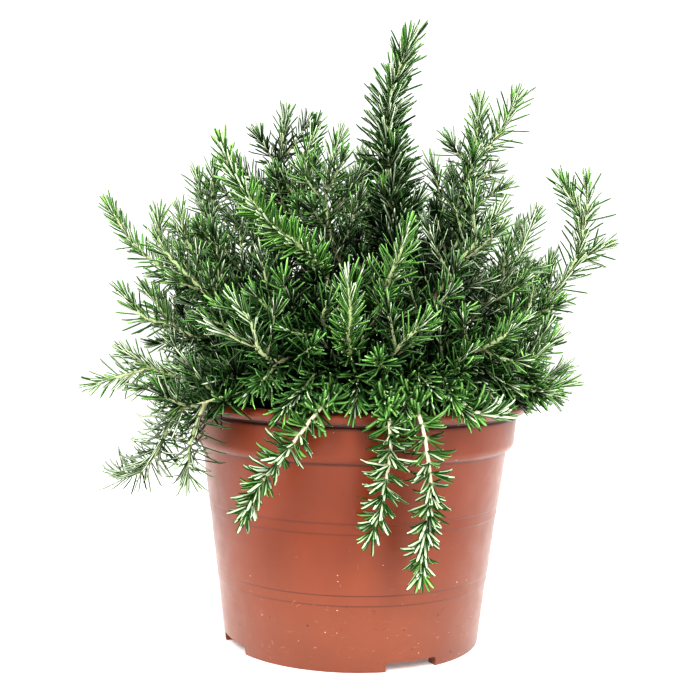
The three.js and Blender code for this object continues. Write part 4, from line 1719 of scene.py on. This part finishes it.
@dataclass
class Studio:
    """The pale floor, the bright surround and the camera, in metres and radians."""

    floor_finish: PaleFloor = field(default_factory=PaleFloor)
    floor_radius: float = 9.0
    camera_place: Point = (0.0, -0.6489, 0.187)
    camera_pitch: float = -0.042
    camera_turn: float = 0.007
    camera_roll: float = 0.019
    lens: float = 60.68
    sensor: float = 36.0
    aim: Point = (0.0, 0.0, 0.17)
    surround_behind: float = 1.1
    surround_beside: float = 1.5
    surround_front: float = 0.2
    surround_top: float = 0.7
    softboxes: tuple[Softbox, ...] = (
        Softbox("key", (-0.5, -1.3, 1.15), 0.6, 18.0),
        Softbox("fill", (0.65, -1.25, 1.0), 0.6, 12.0),
        Softbox("top", (0.3, 0.1, 1.7), 0.8, 9.0),
    )

    def floor(self) -> None:
        """Lays the floor."""
        bm = bmesh.new()
        bmesh.ops.create_circle(bm, cap_ends=True, radius=self.floor_radius / MM, segments=96)
        floor = finish_piece("floor", bm, [self.floor_finish.material()])

    def surround(self) -> None:
        """Lights the room: white behind the plant, brighter beside it, and dim in front.

        It looks the same white from every side, so only its light differs.
        """
        world = bpy.data.worlds.new("surround")
        world.use_nodes = True
        tree = world.node_tree
        tree.nodes.clear()
        direction = add_node(tree, "TexCoord")["Generated"]
        across, depth, height = add_node(tree, "SeparateXYZ", [direction])
        aside = add_node(tree, "Math", [across], operation="ABSOLUTE")[0]
        back = add_node(
            tree, "MapRange", [aside, 0.3, 0.75, self.surround_behind, self.surround_beside]
        )[0]
        level = add_node(tree, "MapRange", [depth, -0.7, 0.05, self.surround_front, back])[0]
        overhead = add_node(tree, "MapRange", [height, 0.35, 0.8, 1.0, self.surround_top])[0]
        strength = add_node(tree, "Math", [level, overhead], operation="MULTIPLY")[0]
        seen = add_node(tree, "LightPath")["Is Camera Ray"]
        strength = add_node(tree, "Mix", {0: seen, 2: strength, 3: self.surround_behind})[0]
        light = add_node(tree, "Background", {"Strength": strength})[0]
        add_node(tree, "OutputWorld", {"Surface": light})
        bpy.context.scene.world = world

    def lights(self) -> None:
        """Hangs the soft lights."""
        for box in self.softboxes:
            light = bpy.data.lights.new(box.name, "AREA")
            light.size, light.energy = box.side, box.power
            lamp = bpy.data.objects.new(box.name, light)
            lamp.location = box.place
            towards = Vector(self.aim) - Vector(box.place)
            lamp.rotation_euler = towards.to_track_quat("-Z", "Y").to_euler()
            bpy.context.scene.collection.objects.link(lamp)

    def camera(self) -> None:
        """Sets the camera where the photograph was taken from."""
        data = bpy.data.cameras.new("camera")
        data.lens, data.sensor_width = self.lens, self.sensor
        camera = bpy.data.objects.new("camera", data)
        turn = Matrix.Rotation(self.camera_turn, 4, "Z")
        tilt = Matrix.Rotation(math.pi / 2 + self.camera_pitch, 4, "X")
        roll = Matrix.Rotation(self.camera_roll, 4, "Z")
        camera.matrix_world = Matrix.Translation(self.camera_place) @ turn @ tilt @ roll
        bpy.context.scene.collection.objects.link(camera)
        bpy.context.scene.camera = camera

    def build(self) -> None:
        """Sets up the whole studio."""
        bpy.context.scene.view_settings.view_transform = "Standard"
        bpy.context.scene.view_settings.look = "High Contrast"
        self.floor()
        self.surround()
        self.lights()
        self.camera()


def write_sizes() -> None:
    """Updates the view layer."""
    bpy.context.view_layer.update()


def main() -> None:
    """Builds the studio, the pot, the soil and the plant."""
    logging.basicConfig(level=logging.INFO, format="%(name)s: %(message)s")
    Studio().build()
    pot = NurseryPot()
    pot.build()
    soil = Soil(pot)
    soil.build()
    Plant(soil).build()
    write_sizes()


if __name__ == "__main__":
    main()
